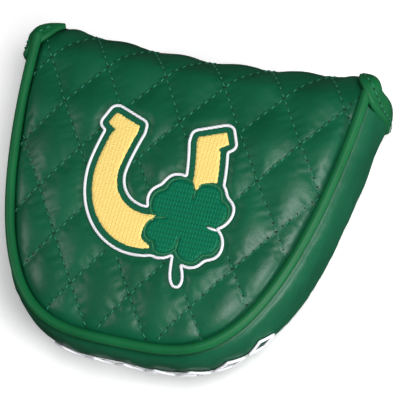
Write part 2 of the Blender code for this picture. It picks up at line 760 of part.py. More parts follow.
def make_side_motif():
    """A row of linked diamonds sewn on the gusset, from the nose towards the right side."""
    points, outward = seam_line(0.0, GUSSET_FRONT_Y, 401)
    length = np.concatenate([[0.0], np.cumsum(np.linalg.norm(np.diff(points, axis=0), axis=1))])
    middle = length[-1] / 2 - MOTIF_SHIFT
    stations = []
    for k in range(MOTIF_DIAMONDS):
        at = (k - (MOTIF_DIAMONDS - 1) / 2) * MOTIF_PITCH
        stations += [(at - MOTIF_HALF_LENGTH, MOTIF_BAR), (at, MOTIF_HALF_HEIGHT),
                     (at + MOTIF_HALF_LENGTH, MOTIF_BAR)]
    rings = []
    for at, high in stations:
        s = middle + at
        x, y = (np.interp(s, length, points[:, k]) for k in (0, 1))
        u, v = (np.interp(s, length, outward[:, k]) for k in (0, 1))
        level = GAP + max(gusset_out(MOTIF_Z + rise, MOTIF_FROM_FRONT, tuck_at(v))
                          for rise in (0.0, high / 2, high))
        ring = []
        for rise, out in ((-high, level), (high, level), (high, level + THREAD_THICK),
                          (-high, level + THREAD_THICK)):
            ring.append((x + u * out, y + v * out, MOTIF_Z + rise))
        rings.append(ring)
    ring_sweep("side_motif_embroidery", rings, WHITE_THREAD, smooth=False)


def main():
    for item in list(bpy.data.objects):
        bpy.data.objects.remove(item)
    make_gusset()
    make_piping()
    make_top_panel()
    make_pocket_panel()
    make_flap()
    make_tongue()
    make_corner_bindings()
    make_emblem()
    make_side_motif()


main()
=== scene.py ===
"""The looks of a quilted putter head cover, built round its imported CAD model.

The panel over the head is quilted in diamonds and rolls over the front edge into a flap, which
ends in a tongue that folds underneath. A horseshoe and a clover are embroidered on the panel.
Lengths are in millimetres until a mesh is made, and every place comes from the frame.
"""
import json
import math

import bmesh
import bpy
import numpy as np
from mathutils import Matrix, Vector, noise
from mathutils.geometry import delaunay_2d_cdt


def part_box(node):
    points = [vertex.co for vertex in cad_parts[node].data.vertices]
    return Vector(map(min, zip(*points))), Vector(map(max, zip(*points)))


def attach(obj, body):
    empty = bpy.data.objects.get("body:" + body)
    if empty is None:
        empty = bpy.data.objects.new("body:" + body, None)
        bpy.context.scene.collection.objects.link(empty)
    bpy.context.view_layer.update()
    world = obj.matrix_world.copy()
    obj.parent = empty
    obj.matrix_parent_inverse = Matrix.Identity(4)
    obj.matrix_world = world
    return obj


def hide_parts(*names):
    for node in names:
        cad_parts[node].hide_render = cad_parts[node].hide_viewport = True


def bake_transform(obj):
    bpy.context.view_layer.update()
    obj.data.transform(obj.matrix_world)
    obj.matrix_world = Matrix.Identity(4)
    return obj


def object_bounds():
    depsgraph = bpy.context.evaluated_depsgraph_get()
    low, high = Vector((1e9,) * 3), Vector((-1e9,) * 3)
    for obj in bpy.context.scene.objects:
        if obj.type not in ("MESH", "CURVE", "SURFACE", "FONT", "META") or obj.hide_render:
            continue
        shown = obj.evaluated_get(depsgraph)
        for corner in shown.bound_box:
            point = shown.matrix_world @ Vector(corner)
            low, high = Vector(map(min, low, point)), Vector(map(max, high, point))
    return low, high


MM = 0.001
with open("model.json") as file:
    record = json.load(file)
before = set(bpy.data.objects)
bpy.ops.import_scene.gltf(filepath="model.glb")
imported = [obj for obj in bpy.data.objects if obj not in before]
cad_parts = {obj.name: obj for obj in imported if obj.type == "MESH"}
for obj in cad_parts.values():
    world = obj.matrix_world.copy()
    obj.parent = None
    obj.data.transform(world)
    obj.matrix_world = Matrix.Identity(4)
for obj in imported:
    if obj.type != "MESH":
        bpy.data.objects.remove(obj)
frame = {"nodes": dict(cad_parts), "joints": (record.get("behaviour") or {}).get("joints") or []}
cad_box = [list(corner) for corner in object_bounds()]


def node_box(name):
    """Lowest and highest corner of a CAD node."""
    low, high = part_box(name)
    return np.array(low) / MM, np.array(high) / MM


def joint_point(name):
    """A joint's place at rest."""
    joint = next(j for j in frame["joints"] if j["name"] == name)
    return np.array(joint["pos_m"]) / MM


# Places that come from the frame.
HINGE = joint_point("flap_hinge")
TONGUE_HINGE = joint_point("tongue_hinge")
PIPE_LOW, PIPE_HIGH = node_box("top_piping_cover")
LOW_PIPE_LOW, LOW_PIPE_HIGH = node_box("bottom_piping_cover")
FLAP_LOW, FLAP_HIGH = node_box("flap_leather")
WALL_LOW, WALL_HIGH = node_box("gusset_leather")
POCKET_LOW = node_box("pocket_leather")[0]
MOUTH_LOW, MOUTH_HIGH = node_box("pocket_mouth_binding")
TONGUE_LOW, TONGUE_HIGH = node_box("tongue_edge_binding")
MOTIF_LOW, MOTIF_HIGH = node_box("side_motif_embroidery")

# The D-shaped seam between the quilted panel and the side wall.
PIPE_RADIUS = (PIPE_HIGH[2] - PIPE_LOW[2]) / 2
CREASE_Z = HINGE[2]
SEAM_HALF_WIDTH = PIPE_HIGH[0] - 2 * PIPE_RADIUS
SEAM_FRONT_Y = HINGE[1] + 10.0
SEAM_NOSE_Y = PIPE_LOW[1] + 2 * PIPE_RADIUS
SEAM_SIDE_POWER = 3.68
SEAM_NOSE_POWER = 1.72

# The quilted panel, unrolled: x across and s along it from the nose to the flap's lower edge.
CROWN = 4.0
CROWN_REACH = 8.5
CROWN_FADE = (-24.0, 28.0)  # where the crown starts to flatten, from the hinge, and over how far
EDGE_DIP = 0.8
EDGE_OUT = 1.5
CREASE_DIP = 2.2
CREASE_REACH = 1.5
DIP_FADE = 10.0
ROLL_DROP = 13.8
ROLL_LENGTH = 17.8
ROLL_POWER = 1.45
ROLL_PART = 0.4  # the roll's part of the way down the flap
FRONT_Y = TONGUE_HINGE[1]
FLAP_BOW = 3.4
RIGHT_BOW = 1.0
FLAP_BOW_X = 56.0
FLAP_TOP_HALF = FLAP_HIGH[0] + 0.8
FLAP_ROLL_HALF = 57.0
FLAP_END_HALF = 33.0
WALL_LENGTH = CREASE_Z - ROLL_DROP - FLAP_LOW[2]
PANEL_END = HINGE[1] + ROLL_LENGTH + WALL_LENGTH
PANEL_THICK = 4.6
EDGE_THICK = 1.5
EDGE_REACH = 3.0
SPACING = 0.95

# Quilting: two families of straight rows that cross in diamonds.
QUILT_X = 11.9
QUILT_S = 41.8
QUILT_SLOPE = 0.686
QUILT_PITCH = 21.95
PUFF = 1.15
PILLOW_POWER = 0.8
PUCKER = 0.20
PUCKER_REACH = 1.2
PUCKER_SPAN = 2.3
ROW_SHIFT = 7.7  # parts one row's random gathers from the next row's
EMBLEM_HOLD = (-0.5, 4.0)  # from the emblem's rim: where the padding starts to rise, over how far
STITCH_PITCH = 3.0
STITCH_LENGTH = 1.5
STITCH_RADIUS = 0.25
STITCH_LEAN = 0.2
STITCH_RISE = 0.12
HOLE_RADIUS = 0.45

# The cloth simulation that swells the quilted panel.
SIM_SCALE = 0.01
SIM_STEPS = 20
SWELL_PRESSURE = 3.0
SWELL_LIMIT = 0.3

# The side wall, and how far its lower seam is drawn in at the sides and at the nose.
WALL_RISE = -0.7
WALL_BELOW = 0.3
WALL_SET_OUT = 0.9
WALL_LEAN = 1.9
WALL_BULGE = 4.0
WALL_FLARE = 0.8
WALL_FLARE_LENGTH = 20.0
WALL_EDGE_THICK = 0.8
WALL_PADDING = 3.7
MOUTH_THICK = 2.4
MOUTH_CLOSING = (12.0, 8.0)  # where the wall starts to thin, from its front end, over how far
WAVE = 0.55
WALL_PUCKER = 0.5
SIDE_TUCK = 1.4
NOSE_TUCK = 5.9
NOSE_STARTS = 0.35
NOSE_BLEND = 0.4

EMBLEM_Z = CREASE_Z + CROWN + 0.3


def smooth_step(value):
    """An even ease from 0 to 1, flat at both ends."""
    value = np.clip(value, 0.0, 1.0)
    return value * value * (3.0 - 2.0 * value)


# How far round the front roll each share of its length reaches.
ROLL_ANGLE = np.linspace(0.0, math.pi / 2, 200)
ROLL_SHARE = np.concatenate([[0.0], np.cumsum(np.hypot(
    np.diff(np.sin(ROLL_ANGLE) ** (2 / ROLL_POWER)),
    np.diff(np.cos(ROLL_ANGLE) ** (2 / ROLL_POWER))))])
ROLL_SHARE /= ROLL_SHARE[-1]


# Outlines -----------------------------------------------------------------------------------

def outward_of(line):
    """Outward directions along a line that runs clockwise, seen from above."""
    step = np.gradient(line, axis=0)
    outward = np.stack([-step[:, 1], step[:, 0]], axis=1)
    return outward / np.linalg.norm(outward, axis=1)[:, None]


def resample(line, count, closed=False):
    """Points at even distances along a line."""
    if closed:
        line = np.concatenate([line, line[:1]])
    length = np.concatenate([[0.0], np.cumsum(np.linalg.norm(np.diff(line, axis=0), axis=1))])
    even = np.linspace(0.0, length[-1], count + 1 if closed else count)
    if closed:
        even = even[:-1]
    return np.stack([np.interp(even, length, line[:, k]) for k in range(line.shape[1])], axis=1)


def seam_line(out, front_y, count):
    """Points along the seam set off outwards, from the right front round the nose."""
    angle = np.linspace(0.0, math.pi / 2, 700)
    x = SEAM_HALF_WIDTH * np.cos(angle) ** (2 / SEAM_SIDE_POWER)
    depth = SEAM_FRONT_Y - SEAM_NOSE_Y
    y = SEAM_FRONT_Y - depth * np.sin(angle) ** (2 / SEAM_NOSE_POWER)
    x[-1] = 0.0
    right = np.stack([x, y], axis=1)
    left = np.stack([-x[-2::-1], y[-2::-1]], axis=1)
    line = np.concatenate([right, left])
    line = line + outward_of(line) * out
    line = line[line[:, 1] <= front_y]
    return resample(line, count)


def edge_distance(points, line, closed=True):
    """Distance of every point to the nearest piece of a line."""
    start = line
    end = np.roll(line, -1, axis=0)
    if not closed:
        start, end = line[:-1], line[1:]
    step = end - start
    size = np.maximum((step ** 2).sum(1), 1e-12)
    best = np.full(len(points), 1e9)
    for first in range(0, len(points), 2000):
        part = points[first:first + 2000]
        gap = part[:, None, :] - start[None, :, :]
        share = np.clip((gap * step).sum(2) / size, 0.0, 1.0)
        near = gap - share[:, :, None] * step
        best[first:first + 2000] = np.sqrt((near ** 2).sum(2).min(1))
    return best


def inside(points, line):
    """Whether every point lies inside a closed line."""
    x, y = points[:, 0], points[:, 1]
    hit = np.zeros(len(points), bool)
    for (ax, ay), (bx, by) in zip(line, np.roll(line, -1, axis=0)):
        if ay == by:
            continue
        crosses = (ay > y) != (by > y)
        hit ^= crosses & (x < (bx - ax) * (y - ay) / (by - ay) + ax)
    return hit


def signed_distance(points, line):
    """Distance to a closed line, negative inside it."""
    return np.where(inside(points, line), -1.0, 1.0) * edge_distance(points, line)


# Meshes -------------------------------------------------------------------------------------

def new_piece(name, points, faces, materials, slots=None):
    """An object from points in millimetres, with its faces turned outwards."""
    mesh = bpy.data.meshes.new(name)
    mesh.from_pydata((np.asarray(points, float) * MM).tolist(), [], [tuple(f) for f in faces])
    for material in materials:
        mesh.materials.append(material)
    if slots is not None:
        mesh.polygons.foreach_set("material_index", np.asarray(slots, np.int32))
    build = bmesh.new()
    build.from_mesh(mesh)
    bmesh.ops.recalc_face_normals(build, faces=build.faces)
    build.to_mesh(mesh)
    build.free()
    mesh.shade_smooth()
    piece = bpy.data.objects.new(name, mesh)
    bpy.context.scene.collection.objects.link(piece)
    return piece


def loft(rings, closed_path=False):
    """Points and faces that join closed rings of equal length, capped unless the path closes."""
    size = len(rings[0])
    points = np.concatenate([np.asarray(ring, float) for ring in rings])
    faces = []
    for k in range(len(rings) if closed_path else len(rings) - 1):
        near = k * size
        far = (k + 1) % len(rings) * size
        for i in range(size):
            j = (i + 1) % size
            faces.append((near + i, near + j, far + j, far + i))
    if not closed_path:
        last = (len(rings) - 1) * size
        faces.append(tuple(range(size)))
        faces.append(tuple(range(last, last + size)))
    return points, faces


def tube(path, radius, sides=12, side_dirs=None, flat=1.0, taper=0.0):
    """Rings of a round or flattened tube along a path, whose ends close over taper points."""
    path = np.asarray(path, float)
    ahead = np.gradient(path, axis=0)
    ahead /= np.linalg.norm(ahead, axis=1)[:, None]
    rings = []
    angles = np.linspace(0.0, 2 * math.pi, sides, endpoint=False)
    for k, (point, step) in enumerate(zip(path, ahead)):
        side = np.cross(step, (0.0, 0.0, 1.0)) if side_dirs is None else side_dirs[k]
        side = side / np.linalg.norm(side)
        up = np.cross(side, step)
        size = radius
        if taper:
            from_end = min(k, len(path) - 1 - k) / taper
            size = radius * math.sqrt(max(1.0 - max(1.0 - from_end, 0.0) ** 2, 0.01))
        rings.append([point + size * (math.cos(a) * side + flat * math.sin(a) * up)
                      for a in angles])
    return rings


def staggered_grid(line, spacing):
    """Points in the box round a line, in rows set off by half a step from one to the next."""
    low, high = line.min(0), line.max(0)
    columns = np.arange(low[0], high[0], spacing)
    rows = np.arange(low[1], high[1], spacing * math.sqrt(3) / 2)
    return np.concatenate([
        np.stack([columns + spacing / 2 * (k % 2), np.full(len(columns), y)], axis=1)
        for k, y in enumerate(rows)])


def fill_outline(line, spacing):
    """Even points and triangles inside a closed line; the line's own points come first."""
    grid = staggered_grid(line, spacing)
    grid = grid[inside(grid, line)]
    grid = grid[edge_distance(grid, line) > 0.55 * spacing]
    return triangulate(line, grid)


def triangulate(line, extra):
    """Triangles inside a closed line through extra points. The points keep their order."""
    points = np.concatenate([line, extra])
    count = len(line)
    edges = [(k, (k + 1) % count) for k in range(count)]
    found = delaunay_2d_cdt([Vector(p) for p in points], edges, [], 1, 1e-7, True)
    faces, origins = found[2], found[3]
    place = [origin[0] for origin in origins]
    faces = np.array([[place[i] for i in face] for face in faces])
    return points, faces[inside(points[faces].mean(1), line)].tolist()


def double_sheet(top, bottom, faces, rim):
    """A closed pad from two sheets with the same faces, joined round the rim."""
    count = len(top)
    points = np.concatenate([top, bottom])
    under = [tuple(count + i for i in face[::-1]) for face in faces]
    sides = [(a, b, count + b, count + a) for a, b in zip(rim, rim[1:] + rim[:1])]
    slots = [0] * len(faces) + [1] * len(under) + [0] * len(sides)
    return points, list(faces) + under + sides, slots


def padded_piece(name, top, bottom, faces, rim):
    """A pad of green leather, lined with fleece, from its two sheets."""
    points, faces, slots = double_sheet(top, bottom, faces, rim)
    piece = new_piece(name, points, faces, [LEATHER, FLEECE], slots)
    return piece


def tape_piece(name, rings):
    """A piece of green tape lofted from rings."""
    piece = new_piece(name, *loft(rings), [TAPE])
    return piece


def cord_rings(path, ups, half_width, half_height, sides):
    """Rings of a flattened cord along a closed path, with a given upward vector at each point."""
    step = np.roll(path, -1, axis=0) - np.roll(path, 1, axis=0)
    step /= np.linalg.norm(step, axis=1)[:, None]
    angles = np.linspace(0.0, 2 * math.pi, sides, endpoint=False)
    return [[point + side * (half_width * math.cos(a)) + up * (half_height * math.sin(a))
             for a in angles] for point, side, up in zip(path, np.cross(step, ups), ups)]


# Materials ----------------------------------------------------------------------------------

class Nodes:
    """A new node material with short names for adding and linking nodes."""

    def __init__(self, name):
        self.material = bpy.data.materials.new(name)
        self.material.use_nodes = True
        self.tree = self.material.node_tree
        self.shader = self.tree.nodes["Principled BSDF"]

    def add(self, kind, **values):
        """A new node, with its settings and its plain inputs."""
        node = self.tree.nodes.new("ShaderNode" + kind)
        for key, value in values.items():
            if hasattr(node, key):
                setattr(node, key, value)
            else:
                node.inputs[key.replace("_", " ")].default_value = value
        return node

    def link(self, start, end):
        self.tree.links.new(start, end)

    def set(self, **values):
        """Plain values on the shader, with _ for each space in their names."""
        for key, value in values.items():
            self.shader.inputs[key.replace("_", " ")].default_value = value

    def place(self, turn=0.0):
        """Object coordinates, turned about Z."""
        coords = self.add("TexCoord")
        mapping = self.add("Mapping")
        mapping.inputs["Rotation"].default_value = (0.0, 0.0, turn)
        self.link(coords.outputs["Object"], mapping.inputs["Vector"])
        return mapping.outputs["Vector"]

    def ramp(self, source, stops):
        """A colour ramp from pairs of place and colour."""
        node = self.add("ValToRGB")
        elements = node.color_ramp.elements
        while len(elements) < len(stops):
            elements.new(1.0)
        for element, (place, colour) in zip(elements, stops):
            element.position = place
            element.color = (*colour, 1.0)
        self.link(source, node.inputs["Fac"])
        return node.outputs["Color"]

    def bump(self, height, depth, strength=1.0, below=None):
        """Relief of a depth in millimetres, on top of any relief below it."""
        node = self.add("Bump")
        node.inputs["Strength"].default_value = strength
        node.inputs["Distance"].default_value = depth * MM
        self.link(height, node.inputs["Height"])
        if below is not None:
            self.link(below, node.inputs["Normal"])
        return node.outputs["Normal"]


def shade(colour, factor):
    """A lighter or darker colour."""
    return tuple(min(channel * factor, 1.0) for channel in colour)


def leather(name, colour, roughness, grain=0.55, depth=0.05, specular=0.32, wrinkle=0.09):
    """Smooth fine-grained synthetic leather."""
    nodes = Nodes(name)
    place = nodes.place()
    cells = nodes.add("TexVoronoi", feature="DISTANCE_TO_EDGE", Scale=1000.0 / grain)
    cloud = nodes.add("TexNoise", Scale=60.0, Detail=3.0)
    fine = nodes.add("TexNoise", Scale=2600.0, Detail=2.0)
    creases = nodes.add("TexNoise", Scale=420.0, Detail=2.0)
    for node in (cells, cloud, fine, creases):
        nodes.link(place, node.inputs["Vector"])
    soft = nodes.bump(creases.outputs["Fac"], wrinkle)
    low = nodes.bump(fine.outputs["Fac"], depth * 0.6, below=soft)
    normal = nodes.bump(cells.outputs["Distance"], depth, 0.6, low)
    tint = nodes.ramp(cloud.outputs["Fac"],
                      [(0.3, shade(colour, 0.86)), (0.7, shade(colour, 1.12))])
    rough = nodes.add("MapRange", To_Min=roughness - 0.05, To_Max=roughness + 0.06)
    nodes.link(cloud.outputs["Fac"], rough.inputs["Value"])
    nodes.link(rough.outputs["Result"], nodes.shader.inputs["Roughness"])
    nodes.link(tint, nodes.shader.inputs["Base Color"])
    nodes.link(normal, nodes.shader.inputs["Normal"])
    nodes.set(Specular_IOR_Level=specular)
    return nodes.material


BAND_SCALE = 50.0 * math.pi  # the scale at which a wave texture has a band each 2 mm


def threads(name, colour, gap_shade, turn, row=0.42, length=2.4, depth=0.16, gap=0.1):
    """Rows of stitched thread with a needle hole at each stitch's end; the gaps and holes are painted
    shade.
    """
    nodes = Nodes(name)
    place = nodes.place(turn=turn)
    bricks = nodes.add("TexBrick", offset=0.37, offset_frequency=1, Scale=1000.0)
    for socket, value in (("Brick Width", length), ("Row Height", row), ("Mortar Size", gap),
                          ("Mortar Smooth", 1.0), ("Bias", 0.0)):
        bricks.inputs[socket].default_value = value
    bricks.inputs["Color1"].default_value = (*colour, 1.0)
    bricks.inputs["Color2"].default_value = (*shade(colour, 0.93), 1.0)
    # The mortar between stitches is painted shade, a darker copy of the thread's colour.
    bricks.inputs["Mortar"].default_value = (*gap_shade, 1.0)
    nodes.link(place, bricks.inputs["Vector"])
    wave = nodes.add("TexWave", wave_type="BANDS", bands_direction="Y")
    wave.inputs["Scale"].default_value = BAND_SCALE / row
    nodes.link(place, wave.inputs["Vector"])
    normal = nodes.bump(wave.outputs["Fac"], depth, 0.7)
    nodes.link(bricks.outputs["Color"], nodes.shader.inputs["Base Color"])
    nodes.link(normal, nodes.shader.inputs["Normal"])
    nodes.set(Roughness=0.55, Specular_IOR_Level=0.12)
    return nodes.material


def plain(name, colour, roughness, metallic=0.0, grain=0.3, depth=0.03, sheen=0.0, glow=0.0):
    """A plain finish with a fine noise in its colour and surface."""
    nodes = Nodes(name)
    place = nodes.place()
    speck = nodes.add("TexNoise", Scale=1000.0 / grain, Detail=3.0)
    nodes.link(place, speck.inputs["Vector"])
    tint = nodes.ramp(speck.outputs["Fac"],
                      [(0.3, shade(colour, 0.85)), (0.7, shade(colour, 1.1))])
    nodes.link(tint, nodes.shader.inputs["Base Color"])
    nodes.link(nodes.bump(speck.outputs["Fac"], depth), nodes.shader.inputs["Normal"])
    nodes.set(Roughness=roughness, Metallic=metallic, Sheen_Weight=sheen, Emission_Strength=glow)
    return nodes.material


GREEN = (0.003, 0.088, 0.038)
TAPE_GREEN = (0.005, 0.108, 0.034)
LEATHER = leather("green_leather_finish", GREEN, 0.39)
TAPE = leather("green_tape_finish", TAPE_GREEN, 0.45, grain=0.4, depth=0.02, specular=0.2,
               wrinkle=0.05)
STITCH = plain("green_stitch_thread", (0.014, 0.170, 0.098), 0.6)
# The needle holes are painted shade, not a dark material.
HOLE_SHADE = plain("needle_hole_shadow", (0.002, 0.035, 0.016), 0.95)
# The second colour of each thread is the painted shade in its stitch gaps.
GOLD = threads("gold_thread_finish", (0.98, 0.80, 0.27), (0.62, 0.30, 0.04), 0.0, row=0.44,
               length=1.3, depth=0.08, gap=0.11)
WHITE = threads("white_thread_finish", (0.86, 0.86, 0.9), (0.7, 0.7, 0.76), 0.0, row=0.3)
EMERALD = threads("emerald_thread_finish", (0.0, 0.170, 0.080), (0.0, 0.035, 0.018),
                  math.pi / 2, row=0.55, length=1.7, depth=0.1, gap=0.13)
BORDER = threads("border_thread_finish", (0.007, 0.120, 0.058), (0.002, 0.05, 0.025),
                 math.pi / 4, row=0.35, length=1.6, depth=0.1)
EDGE_THREAD = threads("leaf_edge_thread_finish", (0.028, 0.200, 0.090), (0.01, 0.09, 0.04),
                      math.pi / 4, row=0.3, depth=0.1)
FLEECE = plain("lining_fleece_finish", (0.030, 0.031, 0.033), 0.95, grain=0.8, depth=0.25,
               sheen=0.5)
STEEL = plain("magnet_steel_finish", (0.55, 0.55, 0.56), 0.3, metallic=1.0)


# Stage --------------------------------------------------------------------------------------

CAMERA_AIM = (14.53, 0.66)
CAMERA_ANGLES = (50.602, 65.210, -36.954)  # azimuth from the nose, elevation, roll
CAMERA_LENS = 262.7
LIGHTS = (  # name, place and size in metres, power
    ("overhead", (0.32, -0.06, 0.74), (0.36, 0.30), 5.8),
    ("left_strip", (-0.60, -0.06, 0.46), (0.18, 0.18), 1.2),
    ("right_strip", (0.62, -0.20, 0.26), (0.22, 0.18), 3.0))
WORLD_STRENGTH = 0.03
FLOOR_SIZE = 1.5
FLOOR_GAP = 0.0002


def add_camera():
    """A long lens above the right of the nose, rolled so that the front edge falls to the right."""
    target = Vector((*CAMERA_AIM, CREASE_Z)) * MM
    azimuth, elevation, roll = (math.radians(angle) for angle in CAMERA_ANGLES)
    back = Vector((math.sin(azimuth) * math.cos(elevation),
                   -math.cos(azimuth) * math.cos(elevation), math.sin(elevation)))
    right = Vector((math.cos(azimuth), math.sin(azimuth), 0.0))
    up = back.cross(right)
    right, up = (math.cos(roll) * right + math.sin(roll) * up,
                 math.cos(roll) * up - math.sin(roll) * right)
    camera = bpy.data.objects.new("camera", bpy.data.cameras.new("camera"))
    camera.data.lens = CAMERA_LENS
    camera.data.sensor_width = 36.0
    turn = Matrix((right, up, back)).transposed().to_4x4()
    camera.matrix_world = Matrix.Translation(target + back) @ turn
    bpy.context.scene.collection.objects.link(camera)
    bpy.context.scene.camera = camera


def add_light(name, place, size, power):
    """A soft square light, in metres, that faces the middle of the object."""
    light = bpy.data.objects.new(name, bpy.data.lights.new(name, "AREA"))
    light.data.shape = "RECTANGLE"
    light.data.size, light.data.size_y = size
    light.data.energy = power
    light.location = place
    aim = Vector((0.0, 0.0, CREASE_Z * MM))
    light.rotation_euler = (aim - Vector(place)).to_track_quat("-Z", "Y").to_euler()
    bpy.context.scene.collection.objects.link(light)


def make_stage():
    """A pale floor and soft lights. The floor isn't reflected in the leather."""
    scene = bpy.context.scene
    scene.view_settings.view_transform = "Standard"
    world = bpy.data.worlds.new("studio")
    world.use_nodes = True
    backdrop = world.node_tree.nodes["Background"]
    backdrop.inputs["Color"].default_value = (0.95, 0.97, 1.0, 1.0)
    backdrop.inputs["Strength"].default_value = WORLD_STRENGTH
    scene.world = world
    for light in LIGHTS:
        add_light(*light)
    low = cad_box[0][2] - FLOOR_GAP
    corners = [(x * FLOOR_SIZE, y * FLOOR_SIZE, low) for x, y in ((-1, -1), (1, -1), (1, 1), (-1, 1))]
    floor = new_piece("floor", np.array(corners) / MM, [(0, 1, 2, 3)],
                      [plain("pale_floor", (0.97, 0.97, 0.97), 0.9, grain=60.0, glow=0.24)])
    floor.visible_glossy = False


# Quilted panel ------------------------------------------------------------------------------

PANEL_FRONT_Y = SEAM_FRONT_Y - 0.5
SEAM = seam_line(EDGE_OUT, PANEL_FRONT_Y, 300)


def quilt_coordinates(x, s):
    """Whole numbers of p or q are the rows of stitching."""
    across = x - QUILT_X
    slant = QUILT_SLOPE * (s - QUILT_S)
    return (across + slant) / QUILT_PITCH, (across - slant) / QUILT_PITCH


def row_distance(x, s):
    """Distance to the nearest row of stitching."""
    reach = QUILT_PITCH / math.hypot(1.0, QUILT_SLOPE)
    gaps = [np.abs(c - np.round(c)) * reach for c in quilt_coordinates(x, s)]
    return np.minimum(*gaps)


def flap_share(s):
    """How far down the flap, 0 at its hinge, ROLL_PART after the roll, 1 at its lower edge."""
    rolled = np.clip((s - HINGE[1]) / ROLL_LENGTH, 0.0, 1.0)
    down = np.clip((s - HINGE[1] - ROLL_LENGTH) / WALL_LENGTH, 0.0, 1.0)
    return ROLL_PART * rolled + (1.0 - ROLL_PART) * down


def flap_half(share):
    """Half the flap's width, by how far down it is."""
    corner = FLAP_TOP_HALF - FLAP_ROLL_HALF
    taper = FLAP_ROLL_HALF - FLAP_END_HALF
    return (FLAP_TOP_HALF - corner * smooth_step(share / ROLL_PART)
            - taper * smooth_step((share - ROLL_PART) / (1.0 - ROLL_PART)))


def panel_outline():
    """The unrolled panel's closed outline, x against s."""
    seam = seam_line(EDGE_OUT, PIPE_HIGH[1] - 0.6, 400)
    s = np.linspace(seam[0, 1] + 1.0, PANEL_END, 60)
    half = flap_half(flap_share(s))
    left = np.stack([-half, s], axis=1)
    right = np.stack([half, s], axis=1)[::-1]
    line = np.concatenate([seam, left, right])
    length = np.linalg.norm(np.diff(line, axis=0), axis=1).sum()
    return resample(line, int(length / SPACING), closed=True)


def stitch_rows():
    """Pieces of the stitching rows between their crossings, as pairs of unrolled points."""
    rows = []
    nodes = range(-9, 10)
    for p in nodes:
        for q in nodes:
            x = QUILT_X + (p + q) / 2 * QUILT_PITCH
            s = QUILT_S + (p - q) / 2 * QUILT_PITCH / QUILT_SLOPE
            for dx, ds in ((0.5, 0.5), (0.5, -0.5)):
                end = (x + dx * QUILT_PITCH, s + ds * QUILT_PITCH / QUILT_SLOPE)
                rows.append(np.array([(x, s), end]))
    return rows


def smooth_turn(share):
    """Angle round the front roll for a share of its length, with even steps along it."""
    return np.interp(share, ROLL_SHARE, ROLL_ANGLE)


def panel_base(x, s):
    """Place of the sewn-down panel in space, before it is puffed up."""
    bow = FLAP_BOW * (x / FLAP_BOW_X) ** 2 + RIGHT_BOW * np.maximum(x / FLAP_BOW_X, 0.0)
    turn = smooth_turn(np.clip((s - HINGE[1]) / ROLL_LENGTH, 0.0, 1.0))
    down = np.clip((s - HINGE[1] - ROLL_LENGTH) / WALL_LENGTH, 0.0, 1.0)
    rolled = HINGE[1] + (FRONT_Y + bow - HINGE[1]) * np.sin(turn) ** (2 / ROLL_POWER)
    y = np.where(s <= HINGE[1], s, rolled - bow * smooth_step(down))
    flat = np.stack([x, np.minimum(s, PANEL_FRONT_Y)], axis=1)
    from_seam = edge_distance(flat, SEAM, closed=False)
    near = np.exp(-from_seam / CROWN_REACH)
    dip = EDGE_DIP * near + CREASE_DIP * np.exp(-(from_seam / CREASE_REACH) ** 2)
    fade = 1.0 - smooth_step((s - HINGE[1] - CROWN_FADE[0]) / CROWN_FADE[1])
    dip_fade = 1.0 - smooth_step((s - HINGE[1]) / DIP_FADE)
    z = (CREASE_Z + CROWN * (1.0 - near) * fade - dip * dip_fade
         - ROLL_DROP * (1.0 - np.cos(turn) ** (2 / ROLL_POWER)) - WALL_LENGTH * down)
    return np.stack([x, y, z], axis=1)


def panel_frame(x, s):
    """Place and outward direction on the sewn-down panel."""
    small = 0.05
    place = panel_base(x, s)
    across = panel_base(x + small, s) - panel_base(x - small, s)
    along = panel_base(x, s + small) - panel_base(x, s - small)
    away = np.cross(across, along)
    return place, away / np.linalg.norm(away, axis=1)[:, None]


def puff_height(x, s, edge, emblem):
    """How far the padding lifts the panel, from its distance to the edge and the emblem."""
    p, q = quilt_coordinates(x, s)
    pillow = np.abs(np.sin(math.pi * p) * np.sin(math.pi * q)) ** PILLOW_POWER
    off_emblem = smooth_step((emblem - EMBLEM_HOLD[0]) / EMBLEM_HOLD[1])
    sewn = (1.0 - np.exp(-(edge / EDGE_REACH) ** 2)) * off_emblem
    return (PUFF * pillow + puckers(x, s)) * sewn


def puckers(x, s):
    """Small gathers across each row of stitching, which fade out away from it."""
    reach = QUILT_PITCH / math.hypot(1.0, QUILT_SLOPE)
    lift = np.zeros(len(x))
    for number, across in enumerate(quilt_coordinates(x, s)):
        gap = np.abs(across - np.round(across)) * reach
        along = x * QUILT_SLOPE * (-1, 1)[number] + s
        uneven = np.array([noise.noise(Vector((a / PUCKER_SPAN, r * ROW_SHIFT, 3.0 * number)))
                           for a, r in zip(along, np.round(across))])
        lift += uneven * gap / PUCKER_REACH * np.exp(1.0 - gap / PUCKER_REACH)
    return PUCKER * lift


def swell(points, faces, held):
    """Blow a sewn sheet up by cloth simulation, and return how far each point moved."""
    mesh = bpy.data.meshes.new("sheet")
    mesh.from_pydata((np.asarray(points) * SIM_SCALE).tolist(), [], [tuple(f) for f in faces])
    sheet = bpy.data.objects.new("sheet", mesh)
    scene = bpy.context.scene
    scene.collection.objects.link(sheet)
    group = sheet.vertex_groups.new(name="held")
    group.add([int(i) for i in held], 1.0, "REPLACE")
    cloth = sheet.modifiers.new("Cloth", "CLOTH")
    settings = cloth.settings
    settings.quality = 5
    settings.vertex_group_mass = "held"
    settings.use_pressure = True
    settings.uniform_pressure_force = SWELL_PRESSURE
    settings.shrink_min = -0.004
    settings.tension_stiffness = 25.0
    settings.compression_stiffness = 25.0
    settings.bending_stiffness = 6.0
    settings.effector_weights.gravity = 0.0
    cloth.collision_settings.use_collision = False
    for step in range(1, SIM_STEPS + 1):
        scene.frame_set(step)
    graph = bpy.context.evaluated_depsgraph_get()
    moved = sheet.evaluated_get(graph).data
    place = np.zeros(len(mesh.vertices) * 3)
    moved.vertices.foreach_get("co", place)
    scene.frame_set(1)
    bpy.data.objects.remove(sheet)
    shift = place.reshape(-1, 3) / SIM_SCALE - points
    size = np.maximum(np.linalg.norm(shift, axis=1), 1e-9)
    return shift * np.minimum(1.0, SWELL_LIMIT / size)[:, None]


